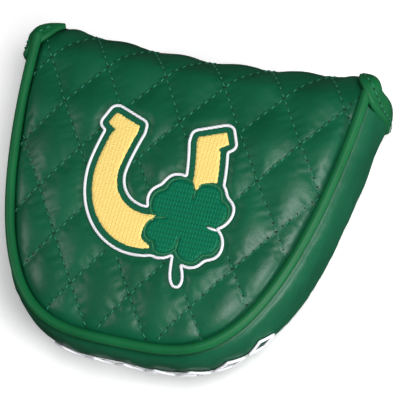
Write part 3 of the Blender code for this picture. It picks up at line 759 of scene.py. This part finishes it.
def make_panel(emblem_line):
    """The quilted panel, its front roll and the flap's wall, as one closed pad."""
    line = panel_outline()
    grid = staggered_grid(line, SPACING)
    grid = grid[row_distance(grid[:, 0], grid[:, 1]) > 0.5 * SPACING]
    sewn = []
    for row in stitch_rows():
        count = max(int(np.linalg.norm(row[1] - row[0]) / SPACING), 1)
        share = np.linspace(0.0, 1.0, count, endpoint=False)[:, None]
        sewn.append(row[0] + (row[1] - row[0]) * share)
    sewn = np.unique(np.round(np.concatenate(sewn), 5), axis=0)
    extra = np.concatenate([grid, sewn])
    extra = extra[inside(extra, line)]
    extra = extra[edge_distance(extra, line) > 0.5 * SPACING]
    flat, faces = triangulate(line, extra)
    x, s = flat[:, 0], flat[:, 1]
    base, away = panel_frame(x, s)
    edge = edge_distance(flat, line)
    emblem = signed_distance(flat, emblem_line)
    lift = puff_height(x, s, edge, emblem)
    top = base + away * lift[:, None]
    held = (edge < 0.1) | (row_distance(x, s) < 0.05) | (emblem < 0.5)
    top = top + swell(top, faces, np.flatnonzero(held))
    thick = EDGE_THICK + (PANEL_THICK - EDGE_THICK) * (1.0 - np.exp(-edge / EDGE_REACH))
    bottom = base - away * thick[:, None]
    rim = list(range(len(line)))
    panel = padded_piece("quilted_panel", top, bottom, faces, rim)
    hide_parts("top_panel_leather", "top_panel_padding", "top_panel_lining",
                "flap_leather", "flap_padding", "flap_lining")
    bend_over_front(panel)


def bend_over_front(piece):
    """Bake a piece's transform into its mesh."""
    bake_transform(piece)


def stitch_meshes(name, starts, ends, away):
    """Short threads that arch from one needle hole to the next, as one object."""
    points, faces = [], []
    shares = (0.0, 0.12, 0.35, 0.65, 0.88, 1.0)
    angles = np.linspace(0.0, 2 * math.pi, 6, endpoint=False)
    for start, end, up in zip(starts, ends, away):
        along = end - start
        side = np.cross(along, up)
        side /= np.linalg.norm(side)
        rings = []
        for share in shares:
            arch = math.sin(math.pi * share) ** 0.5
            size = STITCH_RADIUS * (0.45 + 0.55 * arch)
            middle = start + along * share + up * (STITCH_RADIUS * (arch - 0.35))
            rings.append([middle + size * (math.cos(a) * side + math.sin(a) * up) for a in angles])
        stitch, stitch_faces = loft(rings)
        faces += [tuple(len(points) + i for i in face) for face in stitch_faces]
        points += list(stitch)
    return new_piece(name, points, faces, [STITCH])


def hole_meshes(name, centres, away, along):
    """Small needle holes, each a flat lens let into the surface and painted dark as the shade inside
    it.
    """
    points, faces = [], []
    sides = 8
    for centre, up, step in zip(centres, away, along):
        side = np.cross(step, up)
        side /= np.linalg.norm(side)
        step = np.cross(up, side)
        base = len(points)
        for k in range(sides):
            turn = 2 * math.pi * k / sides
            across = math.cos(turn) * side + 0.7 * math.sin(turn) * step
            points.append(centre + HOLE_RADIUS * across)
        points.append(centre + up * 0.09)
        points.append(centre - up * 0.2)
        for k in range(sides):
            j = (k + 1) % sides
            faces.append((base + k, base + j, base + sides))
            faces.append((base + j, base + k, base + sides + 1))
    return new_piece(name, points, faces, [HOLE_SHADE])


def quilt_stitches(emblem_line):
    """Stitch ends along every row, left out under the emblem and at the edges."""
    outline = panel_outline()
    starts, ends = [], []
    for row in stitch_rows():
        length = np.linalg.norm(row[1] - row[0])
        count = int(round(length / STITCH_PITCH))
        step = (row[1] - row[0]) / count
        gap = 1.0 - STITCH_LENGTH / np.linalg.norm(step)
        lean = np.array([-step[1], step[0]]) * STITCH_LEAN * (1.0 - gap) / 2
        for k in range(count):
            starts.append(row[0] + step * (k + gap / 2) - lean)
            ends.append(row[0] + step * (k + 1 - gap / 2) + lean)
    starts, ends = np.array(starts), np.array(ends)
    middle = (starts + ends) / 2
    keep = inside(middle, outline) & (edge_distance(middle, outline) > 1.6)
    keep[keep] &= signed_distance(middle[keep], emblem_line) > 1.4
    return starts[keep], ends[keep]


def make_quilt_stitches(emblem_line):
    """The panel's stitching and the needle holes between its stitches."""
    starts, ends = quilt_stitches(emblem_line)
    start, away = panel_frame(starts[:, 0], starts[:, 1])
    end, _ = panel_frame(ends[:, 0], ends[:, 1])
    rise = away * STITCH_RISE
    thread = stitch_meshes("quilt_stitching", start + rise, end + rise, away)
    along = end - start
    unit = along / np.linalg.norm(along, axis=1)[:, None]
    gap = STITCH_PITCH - STITCH_LENGTH
    holes = hole_meshes("quilt_needle_holes", end + rise + unit * gap / 2, away, along)
    for piece in (thread, holes):
        bend_over_front(piece)


# Side wall, piping and pocket ---------------------------------------------------------------

def tuck_at(outward_y):
    """How far the lower seam is drawn in, from the seam's outward direction."""
    return SIDE_TUCK + NOSE_TUCK * smooth_step((-outward_y - NOSE_STARTS) / NOSE_BLEND)


def wall_out(z, from_front, tuck=SIDE_TUCK):
    """Distance from the seam line to the side wall's outer face at a height."""
    low, high = WALL_LOW[2], WALL_HIGH[2]
    t = np.clip((z - low) / (high - low), 0.0, 1.0)
    level = WALL_SET_OUT + WALL_LEAN * t + WALL_BULGE * np.sqrt(4.0 * t * (1.0 - t))
    near_mouth = smooth_step(1.0 - from_front / WALL_FLARE_LENGTH)
    flare = WALL_FLARE * np.sin(math.pi * t ** 0.6) * near_mouth
    sewn = (1.2 * np.exp(-(high + WALL_RISE - z) / 1.1)
            + 1.0 * np.exp(-(z - low + WALL_BELOW) / 1.3))
    return level + flare - sewn - tuck * (1.0 - t) ** 3


def lower_seam(out, front_y, count):
    """The seam round the pocket, drawn in under the wall, most of all at the nose."""
    line = seam_line(out, front_y, count)
    outward = outward_of(line)
    return line - outward * tuck_at(outward[:, 1])[:, None]


def make_wall():
    """The side wall round the head, one closed pad with soft waves and gathers at its seams."""
    line = seam_line(0.0, WALL_HIGH[1] - 0.2, 290)
    outward = outward_of(line)
    low, high = WALL_LOW[2] - WALL_BELOW, WALL_HIGH[2] + WALL_RISE
    heights = np.linspace(low, high, 34)
    top, bottom = [], []
    for k, ((x, y), (u, v)) in enumerate(zip(line, outward)):
        from_front = WALL_HIGH[1] - y
        tuck = tuck_at(v)
        for z in heights:
            near = min(z - low, high - z)
            wave = noise.noise(Vector((k / 11.0, z / 13.0, 0.0))) * WAVE
            pucker = noise.noise(Vector((k / 2.6, z / 9.0, 5.0))) * WALL_PUCKER
            pucker *= math.exp(-near / 4.0)
            level = wall_out(z, from_front, tuck)
            out = level + (wave + pucker) * min(near / 3.0, 1.0)
            thick = WALL_EDGE_THICK + WALL_PADDING * (1.0 - math.exp(-near / 2.0))
            closing = smooth_step((MOUTH_CLOSING[0] - from_front) / MOUTH_CLOSING[1])
            thick = thick - closing * max(thick - MOUTH_THICK, 0.0)
            top.append((x + u * out, y + v * out, z))
            inner = level - thick
            bottom.append((x + u * inner, y + v * inner, z))
    tall = len(heights)
    wide = len(line)
    faces = [(k * tall + i, (k + 1) * tall + i, (k + 1) * tall + i + 1, k * tall + i + 1)
             for k in range(wide - 1) for i in range(tall - 1)]
    rim = [k * tall for k in range(wide)]
    rim += [(wide - 1) * tall + i for i in range(1, tall)]
    rim += [k * tall + tall - 1 for k in range(wide - 2, -1, -1)]
    rim += list(range(tall - 2, 0, -1))
    wall = padded_piece("side_wall", np.array(top), np.array(bottom), faces, rim)
    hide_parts("gusset_leather", "gusset_padding", "gusset_lining")
    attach(wall, "shell")


def make_piping():
    """Round piping in smooth tape along both seams."""
    for label, low, high, around, tuck in (
            ("top", PIPE_LOW, PIPE_HIGH, seam_line, 0.0),
            ("bottom", LOW_PIPE_LOW, LOW_PIPE_HIGH, lower_seam, SIDE_TUCK)):
        radius = (high[2] - low[2]) / 2
        line = around(high[0] - radius - SEAM_HALF_WIDTH + tuck, high[1], 260)
        heights = np.full(len(line), (low[2] + high[2]) / 2)
        path = np.column_stack([line, heights])
        piping = tape_piece(label + "_piping", tube(path, radius, sides=16))
        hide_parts(label + "_piping_cover", label + "_piping_cord")
        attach(piping, "shell")


def make_pocket():
    """The flat padded panel underneath, with a bound mouth."""
    seam = lower_seam(0.4, MOUTH_LOW[1], 240)
    front = np.linspace(seam[-1], seam[0], 100)[1:-1]
    line = np.concatenate([seam, front])
    flat, faces = fill_outline(line, 2.0)
    edge = edge_distance(flat, line)
    soft = 1.0 - np.exp(-edge / 2.5)
    lower = np.column_stack([flat, POCKET_LOW[2] - 0.1 + 1.2 * (1.0 - soft)])
    upper = np.column_stack([flat, MOUTH_HIGH[2] - 2.0 * (1.0 - soft)])
    rim = list(range(len(line)))
    pocket = padded_piece("pocket_panel", lower, upper, faces, rim)
    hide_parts("pocket_leather", "pocket_padding", "pocket_lining")
    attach(pocket, "shell")
    half = MOUTH_HIGH[0]
    path = [(x, (MOUTH_LOW[1] + MOUTH_HIGH[1]) / 2, (MOUTH_LOW[2] + MOUTH_HIGH[2]) / 2)
            for x in np.linspace(-half, half, 60)]
    binding = tape_piece("pocket_mouth_tape", tube(path, 1.3, sides=14, flat=1.9, taper=3))
    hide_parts("pocket_mouth_binding")
    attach(binding, "shell")


# Tapes --------------------------------------------------------------------------------------

TAPE_OVERLAP = 0.15
FOLD_INSET = 0.6
STITCH_OUT = 1.3
# Up the side wall's front end: height, and how far the tape's rear edge and fold stand forward.
TAPE_SIDE = ((3.4, 0.8, -1.6), (8.0, 0.2, -0.6), (14.0, 0.7, 0.2), (22.0, 0.4, 0.4),
             (29.0, 0.1, 0.4))
# Over the corner to the flap, for the tape's rear edge and its fold.
REAR_TOPS = {
    "right": ((64.4, 45.4, 35.0), (62.9, 47.0, 37.0), (61.0, 49.6, 37.6), (58.9, 52.2, 36.8),
              (57.2, 54.4, 35.0), (56.0, 56.4, 31.6), (55.2, 57.4, 28.6)),
    "left": ((64.8, 40.6, 34.6), (63.6, 41.6, 36.4), (61.8, 44.2, 36.7), (59.7, 47.6, 35.8),
             (57.8, 50.8, 34.2), (56.4, 54.2, 31.8), (55.4, 56.6, 28.6))}
FOLD_TOPS = {
    "right": ((65.6, 53.2, 33.6), (65.0, 54.4, 34.9), (64.0, 55.4, 35.2), (62.7, 56.3, 34.6),
              (61.2, 56.9, 33.4), (59.6, 57.3, 31.6), (58.2, 57.6, 29.4), (57.2, 57.6, 27.4)),
    "left": ((65.8, 49.6, 33.0), (65.0, 51.6, 33.6), (63.8, 53.4, 33.6), (62.2, 54.8, 33.0),
             (60.6, 55.8, 32.0), (59.0, 56.6, 30.6), (57.8, 57.2, 29.0), (57.0, 57.5, 27.4))}
REAR_Y = {"right": 44.6, "left": 41.0}
FOLD_BACK = {"right": 0.0, "left": 3.0}  # how far the fold is drawn back, higher up
FOLD_FORWARD = 1.4
TAPE_POINTS = 70
TAPE_ARCH = 1.2
TAPE_THICK = 1.1
HEM_RIDGE = (0.45, 0.1, 0.06)  # height, and middle and width as shares of the tape's width
CORNER_HEART = np.array([50.0, 40.0, 20.0])  # a point inside, that the tape faces away from
STITCH_SHARE = (0.15, 0.30)  # where the row starts across the tape, and how far it moves over


def make_corner_tape(side, word):
    """Tape folded round the side wall's front end, which carries on over the corner.

    The strip is a patch between its rear edge and its front fold, from the bottom up.
    """
    rear, fold = [], []
    for z, rear_ahead, fold_ahead in TAPE_SIDE:
        y = REAR_Y[word] + rear_ahead
        rear.append((SEAM_HALF_WIDTH + wall_out(z, WALL_HIGH[1] - y) + TAPE_OVERLAP, y, z))
        drawn_back = FOLD_BACK[word] * smooth_step((z - 8.0) / 20.0)
        y = WALL_HIGH[1] + FOLD_FORWARD + fold_ahead - drawn_back
        fold.append((SEAM_HALF_WIDTH + wall_out(z, 0.0) - FOLD_INSET, y, z))
    rear = resample(smooth_path(rear + list(REAR_TOPS[word])), TAPE_POINTS)
    fold = resample(smooth_path(fold + list(FOLD_TOPS[word])), TAPE_POINTS)
    shares = np.linspace(0.0, 1.0, 15)
    height, middle, width = HEM_RIDGE
    arch = (TAPE_ARCH * (4 * shares * (1.0 - shares)) ** 0.6
            + height * np.exp(-((shares - middle) / width) ** 2))
    mirror = np.array([side, 1.0, 1.0])
    rings, stitch_line, stitch_away = [], [], []
    for k, (low, high) in enumerate(zip(rear, fold)):
        outward = (low + high) / 2 - CORNER_HEART
        across = high - low
        outward -= across * (outward @ across) / (across @ across)
        outward /= np.linalg.norm(outward)
        outer = [low + across * t + outward * rise for t, rise in zip(shares, arch)]
        inner = [low + across * t + outward * (rise - TAPE_THICK)
                 for t, rise in zip(shares[::-1], arch[::-1])]
        rings.append(np.array(outer + inner) * mirror)
        sewn_at = STITCH_SHARE[0] + STITCH_SHARE[1] * smooth_step((k - 30) / 20)
        stitch_line.append((low + across * sewn_at + outward * STITCH_OUT) * mirror)
        stitch_away.append(outward * mirror)
    tape = tape_piece("corner_tape_" + word, rings)
    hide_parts("corner_binding_" + word)
    pieces = [tape] + sew_along("corner_stitching_" + word, np.array(stitch_line)[6:-8],
                                np.array(stitch_away)[6:-8])
    for piece in pieces:
        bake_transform(piece)


def sew_along(name, line, away):
    """A row of stitches and needle holes on a line in space."""
    length = np.linalg.norm(np.diff(line, axis=0), axis=1).sum()
    count = int(length / STITCH_PITCH)
    both = resample(np.concatenate([line, away], axis=1), 2 * count + 1)
    place, up = both[:, :3], both[:, 3:]
    up /= np.linalg.norm(up, axis=1)[:, None]
    middle, along = place[1::2], place[2::2] - place[:-2:2]
    along *= STITCH_LENGTH / STITCH_PITCH / 2
    thread = stitch_meshes(name, middle - along, middle + along, up[1::2])
    holes = hole_meshes(name + "_holes", place[::2], up[::2], np.gradient(place, axis=0)[::2])
    return [thread, holes]


def smooth_path(points):
    """A smooth curve through points (Catmull-Rom)."""
    points = np.asarray(points, float)
    padded = np.concatenate([[2 * points[0] - points[1]], points, [2 * points[-1] - points[-2]]])
    curve = []
    for k in range(len(points) - 1):
        a, b, c, d = padded[k:k + 4]
        for t in np.linspace(0.0, 1.0, 8, endpoint=False):
            curve.append(0.5 * (2 * b + (c - a) * t + (2 * a - 5 * b + 4 * c - d) * t ** 2
                                + (3 * b - a - 3 * c + d) * t ** 3))
    curve.append(points[-1])
    return np.array(curve)


def make_flap_tapes():
    """Tape folded round both side edges of the flap's wall."""
    for side, word in ((-1, "left"), (1, "right")):
        s = np.linspace(HINGE[1] + 9.0, PANEL_END - 1.0, 50)
        half = flap_half(flap_share(s))
        place, away = panel_frame(side * half, s)
        path = place - away * PANEL_THICK / 2
        side_dirs = np.cross(away, np.gradient(path, axis=0))
        rings = tube(path, 1.1, sides=14, side_dirs=side_dirs, flat=2.3, taper=3)
        tape = tape_piece("flap_tape_" + word, rings)
        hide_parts("flap_%s_binding" % word)
        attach(tape, "flap")


# Tongue -------------------------------------------------------------------------------------

TONGUE_HALF = TONGUE_HIGH[0] - 3.4
TONGUE_REAR = TONGUE_LOW[1] + 1.2
TONGUE_CORNER = 16.0
TONGUE_BEND = 4.5
TONGUE_EDGE_THICK = 1.6
TONGUE_PADDING = 2.2
TONGUE_SPACING = 1.6


def make_tongue():
    """A padded strap sewn to the flap's wall, which folds under the pocket."""
    line = tongue_outline()
    flat, faces = fill_outline(line, TONGUE_SPACING)
    edge = edge_distance(flat, line)
    thick = TONGUE_EDGE_THICK + TONGUE_PADDING * (1.0 - np.exp(-edge / TONGUE_SPACING))
    middle, away = tongue_frame(flat[:, 1])
    middle[:, 0] = flat[:, 0]
    top = middle + away * (thick / 2)[:, None]
    bottom = middle - away * (thick / 2)[:, None]
    rim = list(range(len(line)))
    tongue = padded_piece("tongue_strap", bottom, top, faces, rim)
    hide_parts("tongue_leather", "tongue_board", "tongue_lining")
    edge_line = line[line[:, 1] < FRONT_Y + 6.0]
    path, away = tongue_frame(edge_line[:, 1])
    path[:, 0] = edge_line[:, 0]
    side_dirs = np.cross(away, np.gradient(path, axis=0))
    rings = tube(path, 1.0, sides=12, side_dirs=side_dirs, flat=2.0, taper=3)
    binding = tape_piece("tongue_tape", rings)
    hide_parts("tongue_edge_binding")
    for piece in (tongue, binding):
        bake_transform(piece)


def tongue_outline():
    """The strap laid flat: t runs back from the wall, past the fold, to the rear end."""
    line = [(TONGUE_HALF + 2.0, FRONT_Y + 9.0), (TONGUE_HALF, FRONT_Y - 14.0)]
    for turn in np.linspace(0.0, math.pi / 2, 12):
        line.append((TONGUE_HALF - TONGUE_CORNER + TONGUE_CORNER * math.cos(turn),
                     TONGUE_REAR + TONGUE_CORNER - TONGUE_CORNER * math.sin(turn)))
    line += [(-x, t) for x, t in line[::-1]]
    line = np.array(line)
    length = np.linalg.norm(np.diff(line, axis=0), axis=1).sum()
    closed = resample(line, int(length / 1.2))
    top = np.linspace(closed[-1], closed[0], int(2 * TONGUE_HALF / TONGUE_SPACING))[1:-1]
    return np.concatenate([closed, top])


def tongue_frame(t):
    """Middle of the strap and its inward direction, by distance t along it."""
    middle_z = TONGUE_HIGH[2] / 2
    bend_start = FRONT_Y - TONGUE_BEND + 1.0
    turn = np.clip((t - bend_start) / TONGUE_BEND, 0.0, math.pi / 2)
    past = np.maximum(t - bend_start - TONGUE_BEND * math.pi / 2, 0.0)
    y = np.minimum(t, bend_start) + TONGUE_BEND * np.sin(turn)
    z = middle_z + TONGUE_BEND * (1.0 - np.cos(turn)) + past
    away = np.stack([np.zeros_like(t), -np.sin(turn), np.cos(turn)], axis=1)
    return np.stack([np.zeros_like(t), y, z], axis=1), away


# Embroidery ---------------------------------------------------------------------------------

HORSESHOE_X = -1.8
BEND_Y = 4.0  # where the horseshoe's bend meets its arms
ARM_REACH = 18.0
ARM_LEAN = 3.0
BEND_DEPTH = 19.4
HEEL = ((19.4, 18.4), (22.7, 20.6), (20.8, 24.9), (20.2, 25.0), (10.7, 21.5))
CLOVER = (13.5, -7.7)
# The angle and radius of each valley between the leaves, then each leaf's radius.
VALLEYS = ((-11.0, 7.6), (90.0, 6.4), (191.0, 7.0), (265.0, 10.6), (349.0, 7.6))
LEAVES = (16.5, 16.9, 17.7, 18.3)
LEAF_NOTCH = 1.9
LEAF_INSET = 1.75
LEAF_VALLEY = 7.6
EDGE_LINE_OUT = 0.45
STEM_TOP = (12.1, -18.5)
STEM_TIP = (16.7, -32.0)
STEM_HALF = 2.05
# How far the white outline stands off each part, and how far the gold stops from the clover.
SHOE_MARGIN = 2.4
CLOVER_MARGIN = 0.9
STEM_MARGIN = 0.5
GOLD_GAP = 0.2
GRID_STEP = 0.3
FILL_SPACING = 0.8
FILL_ROUND = 0.5
# The white line that runs in between the clover's right-hand leaves.
VALLEY_ENDS = ((25.4, -10.3, EMBLEM_Z + 0.4), (21.2, -9.8, EMBLEM_Z + 0.5))


def horseshoe_line():
    """A horseshoe's closed outline: leaning arms, joined by half an ellipse, with heels."""
    right = []
    for turn in np.radians(np.linspace(0.0, 90.0, 40)):
        right.append((ARM_REACH * math.sin(turn), BEND_Y - BEND_DEPTH * math.cos(turn)))
    for t in np.linspace(0.0, 1.0, 14)[1:]:
        right.append((ARM_REACH - ARM_LEAN * t ** 1.5, BEND_Y + 16.5 * t))
    right = np.array(right)
    step = np.gradient(right, axis=0)
    step /= np.linalg.norm(step, axis=1)[:, None]
    away = np.stack([step[:, 1], -step[:, 0]], axis=1)
    half = 4.5 + 1.9 * np.maximum((BEND_Y - right[:, 1]) / BEND_DEPTH, 0.0) ** 2
    outer = right + away * half[:, None]
    inner = right - away * half[:, None]
    outer = outer[outer[:, 1] < HEEL[0][1] - 0.3]
    side = np.concatenate([outer, HEEL, inner[::-1]])
    mirrored = side[::-1] * (-1.0, 1.0)
    return np.concatenate([side, mirrored]) + (HORSESHOE_X, 0.0)


def clover_line(inset=0.0, valley_limit=math.inf, power=0.5, notch=0.12):
    """Four heart-shaped leaves round a centre, parted by valleys no farther out than a limit."""
    points = []
    for (start, low_a), (end, low_b), leaf in zip(VALLEYS, VALLEYS[1:], LEAVES):
        for t in np.linspace(0.0, 1.0, 60, endpoint=False):
            low = min(low_a + (low_b - low_a) * t, valley_limit)
            radius = low + (leaf - inset - low) * math.sin(math.pi * t) ** power
            radius -= LEAF_NOTCH * math.exp(-((t - 0.5) / notch) ** 2)
            angle = math.radians(start + (end - start) * t)
            points.append((CLOVER[0] + radius * math.cos(angle),
                           CLOVER[1] + radius * math.sin(angle)))
    return np.array(points)


def stem_line():
    """A drop-shaped loop that hangs from the clover, widest near its tip."""
    top, tip = np.array(STEM_TOP), np.array(STEM_TIP)
    along = (tip - top) / 2
    across = np.array([-along[1], along[0]]) / np.linalg.norm(along)
    points = []
    for turn in np.linspace(0.0, 2 * math.pi, 80, endpoint=False):
        wide = STEM_HALF * math.sin(turn) * (0.62 + 0.62 * math.cos(turn))
        points.append((top + tip) / 2 + along * math.cos(turn) + across * wide)
    return np.array(points)


def contours(x, y, field):
    """Closed lines where a field on a grid is zero, by marching squares."""
    field = np.where(field == 0.0, 1e-9, field)
    inner = field < 0
    ends = {}
    rows, columns = np.nonzero(
        (inner[:-1, :-1] != inner[1:, :-1]) | (inner[:-1, :-1] != inner[:-1, 1:])
        | (inner[:-1, :-1] != inner[1:, 1:]))
    places = {}

    def crossing(key):
        if key not in places:
            (r, c), (rr, cc) = key
            share = field[r, c] / (field[r, c] - field[rr, cc])
            places[key] = (x[c] + (x[cc] - x[c]) * share, y[r] + (y[rr] - y[r]) * share)
        return key

    for r, c in zip(rows.tolist(), columns.tolist()):
        corners = [(r, c), (r, c + 1), (r + 1, c + 1), (r + 1, c)]
        cuts = []
        for a, b in zip(corners, corners[1:] + corners[:1]):
            if inner[a] != inner[b]:
                cuts.append(crossing((min(a, b), max(a, b))))
        for a, b in zip(cuts[::2], cuts[1::2]):
            ends.setdefault(a, []).append(b)
            ends.setdefault(b, []).append(a)
    loops = []
    while ends:
        start = next(iter(ends))
        loop = [start]
        previous, here = None, start
        while True:
            ahead = [k for k in ends[here] if k != previous]
            if not ahead:
                break
            previous, here = here, ahead[0]
            if here == start:
                break
            loop.append(here)
        for key in loop:
            ends.pop(key, None)
        loops.append(np.array([places[key] for key in loop]))
    return [loop for loop in loops if len(loop) > 12]


def emblem_fields():
    """A grid, and on it the signed distances to the whole emblem and to its gold part."""
    x = np.arange(-34.0, 38.0, GRID_STEP)
    y = np.arange(-42.0, 34.0, GRID_STEP)
    grid_x, grid_y = np.meshgrid(x, y)
    grid = np.stack([grid_x.ravel(), grid_y.ravel()], axis=1)
    shoe, clover, stem = (signed_distance(grid, line).reshape(grid_x.shape)
                          for line in (horseshoe_line(), clover_line(), stem_line()))
    outline = np.minimum(np.minimum(shoe - SHOE_MARGIN, clover - CLOVER_MARGIN),
                         stem - STEM_MARGIN)
    return x, y, outline, np.maximum(shoe, GOLD_GAP - clover)


def loop_length(loop):
    """Length all round a closed line."""
    return np.linalg.norm(np.roll(loop, -1, axis=0) - loop, axis=1).sum()


def raised_fill(name, loop, material, height, low_z):
    """A padded area of thread inside a closed line, rounded off at its rim."""
    line = resample(loop, max(int(loop_length(loop) / (0.6 * FILL_SPACING)), 12), closed=True)
    flat, faces = fill_outline(line, FILL_SPACING)
    edge = edge_distance(flat, line)
    rise = height * np.sqrt(1.0 - (1.0 - np.clip(edge / FILL_ROUND, 0.0, 1.0)) ** 2)
    top = np.column_stack([flat, low_z + 0.25 * height + 0.75 * rise])
    bottom = np.column_stack([flat, np.full(len(flat), low_z)])
    points, faces, _ = double_sheet(top, bottom, faces, list(range(len(line))))
    return new_piece(name, points, faces, [material])


def outward_normals(loop):
    """Outward directions along a closed line that runs anticlockwise."""
    step = np.roll(loop, -1, axis=0) - np.roll(loop, 1, axis=0)
    outward = np.stack([step[:, 1], -step[:, 0]], axis=1)
    return outward / np.linalg.norm(outward, axis=1)[:, None]


def satin_line(name, loop, width, height, z, material):
    """A flattened cord of satin stitch along a closed line."""
    line = resample(loop, int(loop_length(loop) / 0.5), closed=True)
    smooth = (np.roll(line, 1, axis=0) + 2 * line + np.roll(line, -1, axis=0)) / 4
    path = np.column_stack([smooth, np.full(len(smooth), z)])
    ups = np.tile((0.0, 0.0, 1.0), (len(path), 1))
    rings = cord_rings(path, ups, width / 2, height, 10)
    return new_piece(name, *loft(rings, closed_path=True), [material])


def make_emblem():
    """The horseshoe and clover in raised thread. Returns the emblem's outline."""
    x, y, whole, gold = emblem_fields()
    outline = max(contours(x, y, whole), key=len)
    low_z = EMBLEM_Z - 0.5
    pieces = [raised_fill("emblem_border", outline, BORDER, 0.75, low_z)]
    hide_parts("embroidery_backing", "clover_border_embroidery")
    cord = satin_line("emblem_outline", outline, 1.05, 0.5, EMBLEM_Z + 0.3, WHITE)
    rings = tube(np.linspace(*VALLEY_ENDS, 8), 0.5, sides=8, flat=0.8, taper=4)
    valley = new_piece("emblem_valley_line", *loft(rings), [WHITE])
    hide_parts("white_outline_embroidery")
    gold_loops = sorted(contours(x, y, gold), key=len)[-2:]
    for loop, word in zip(sorted(gold_loops, key=lambda loop: loop[:, 0].mean()),
                          ("left", "right")):
        fill = raised_fill("horseshoe_fill_" + word, loop, GOLD, 0.55, EMBLEM_Z)
        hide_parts("horseshoe_embroidery_" + word)
        pieces.append(fill)
    leaf = clover_line(LEAF_INSET, LEAF_VALLEY, power=0.3, notch=0.10)
    clover = raised_fill("clover_fill", leaf, EMERALD, 0.6, EMBLEM_Z)
    leaf_edge = satin_line("clover_edge", leaf + outward_normals(leaf) * EDGE_LINE_OUT, 0.75,
                           0.35, EMBLEM_Z + 0.2, EDGE_THREAD)
    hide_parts("clover_embroidery")
    for piece in pieces + [cord, valley, clover, leaf_edge]:
        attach(piece, "shell")
    return outline


MOTIF_SHIFT = 12.0
MOTIF_COUNT = 7
MOTIF_PITCH = 11.0
MOTIF_HALF_WIDTH = 4.6
MOTIF_LIFT = 0.7
NO_FLARE = 100.0  # a distance from the front at which the wall has no flare


def make_side_motif():
    """A row of diamonds in white satin stitch on the side wall round the nose."""
    line = seam_line(0.0, WALL_HIGH[1], 801)
    outward = outward_of(line)
    step = np.linalg.norm(np.diff(line, axis=0), axis=1)
    length = np.concatenate([[0.0], np.cumsum(step)])
    middle = length[-1] / 2 - MOTIF_SHIFT
    centre_z = (MOTIF_LOW[2] + MOTIF_HIGH[2]) / 2
    half_height = (MOTIF_HIGH[2] - MOTIF_LOW[2]) / 2 - 0.6

    def on_wall(at, z, lift):
        s = middle + at
        place = [np.interp(s, length, line[:, k]) for k in (0, 1)]
        away = [np.interp(s, length, outward[:, k]) for k in (0, 1)]
        out = wall_out(z, NO_FLARE, tuck_at(away[1])) + lift
        return np.array([place[0] + away[0] * out, place[1] + away[1] * out, z])

    points, faces = [], []
    for k in range(MOTIF_COUNT):
        at = (k - MOTIF_COUNT // 2) * MOTIF_PITCH
        corners = [(at - MOTIF_HALF_WIDTH, centre_z), (at, centre_z + half_height),
                   (at + MOTIF_HALF_WIDTH, centre_z), (at, centre_z - half_height)]
        loop = resample(np.array(corners), 56, closed=True)
        path = np.array([on_wall(a, z, MOTIF_LIFT) for a, z in loop])
        ups = np.array([on_wall(a, z, MOTIF_LIFT + 1.0) for a, z in loop]) - path
        rings = cord_rings(path, ups, 0.75, 0.45, 8)
        diamond, diamond_faces = loft(rings, closed_path=True)
        faces += [tuple(len(points) + i for i in face) for face in diamond_faces]
        points += list(diamond)
    motif = new_piece("side_motif", points, faces, [WHITE])
    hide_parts("side_motif_embroidery")
    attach(motif, "shell")


def finish_magnets():
    """The magnets stay as they are in the CAD model, sewn in out of sight."""
    for name, node in frame["nodes"].items():
        if "magnet" in name:
            node.data.materials.clear()
            node.data.materials.append(STEEL)


def main():
    """Make the scene, the camera first."""
    add_camera()
    make_stage()
    outline = make_emblem()
    make_panel(outline)
    make_quilt_stitches(outline)
    make_wall()
    make_piping()
    make_pocket()
    make_corner_tape(1, "right")
    make_corner_tape(-1, "left")
    make_flap_tapes()
    make_tongue()
    make_side_motif()
    finish_magnets()


main()
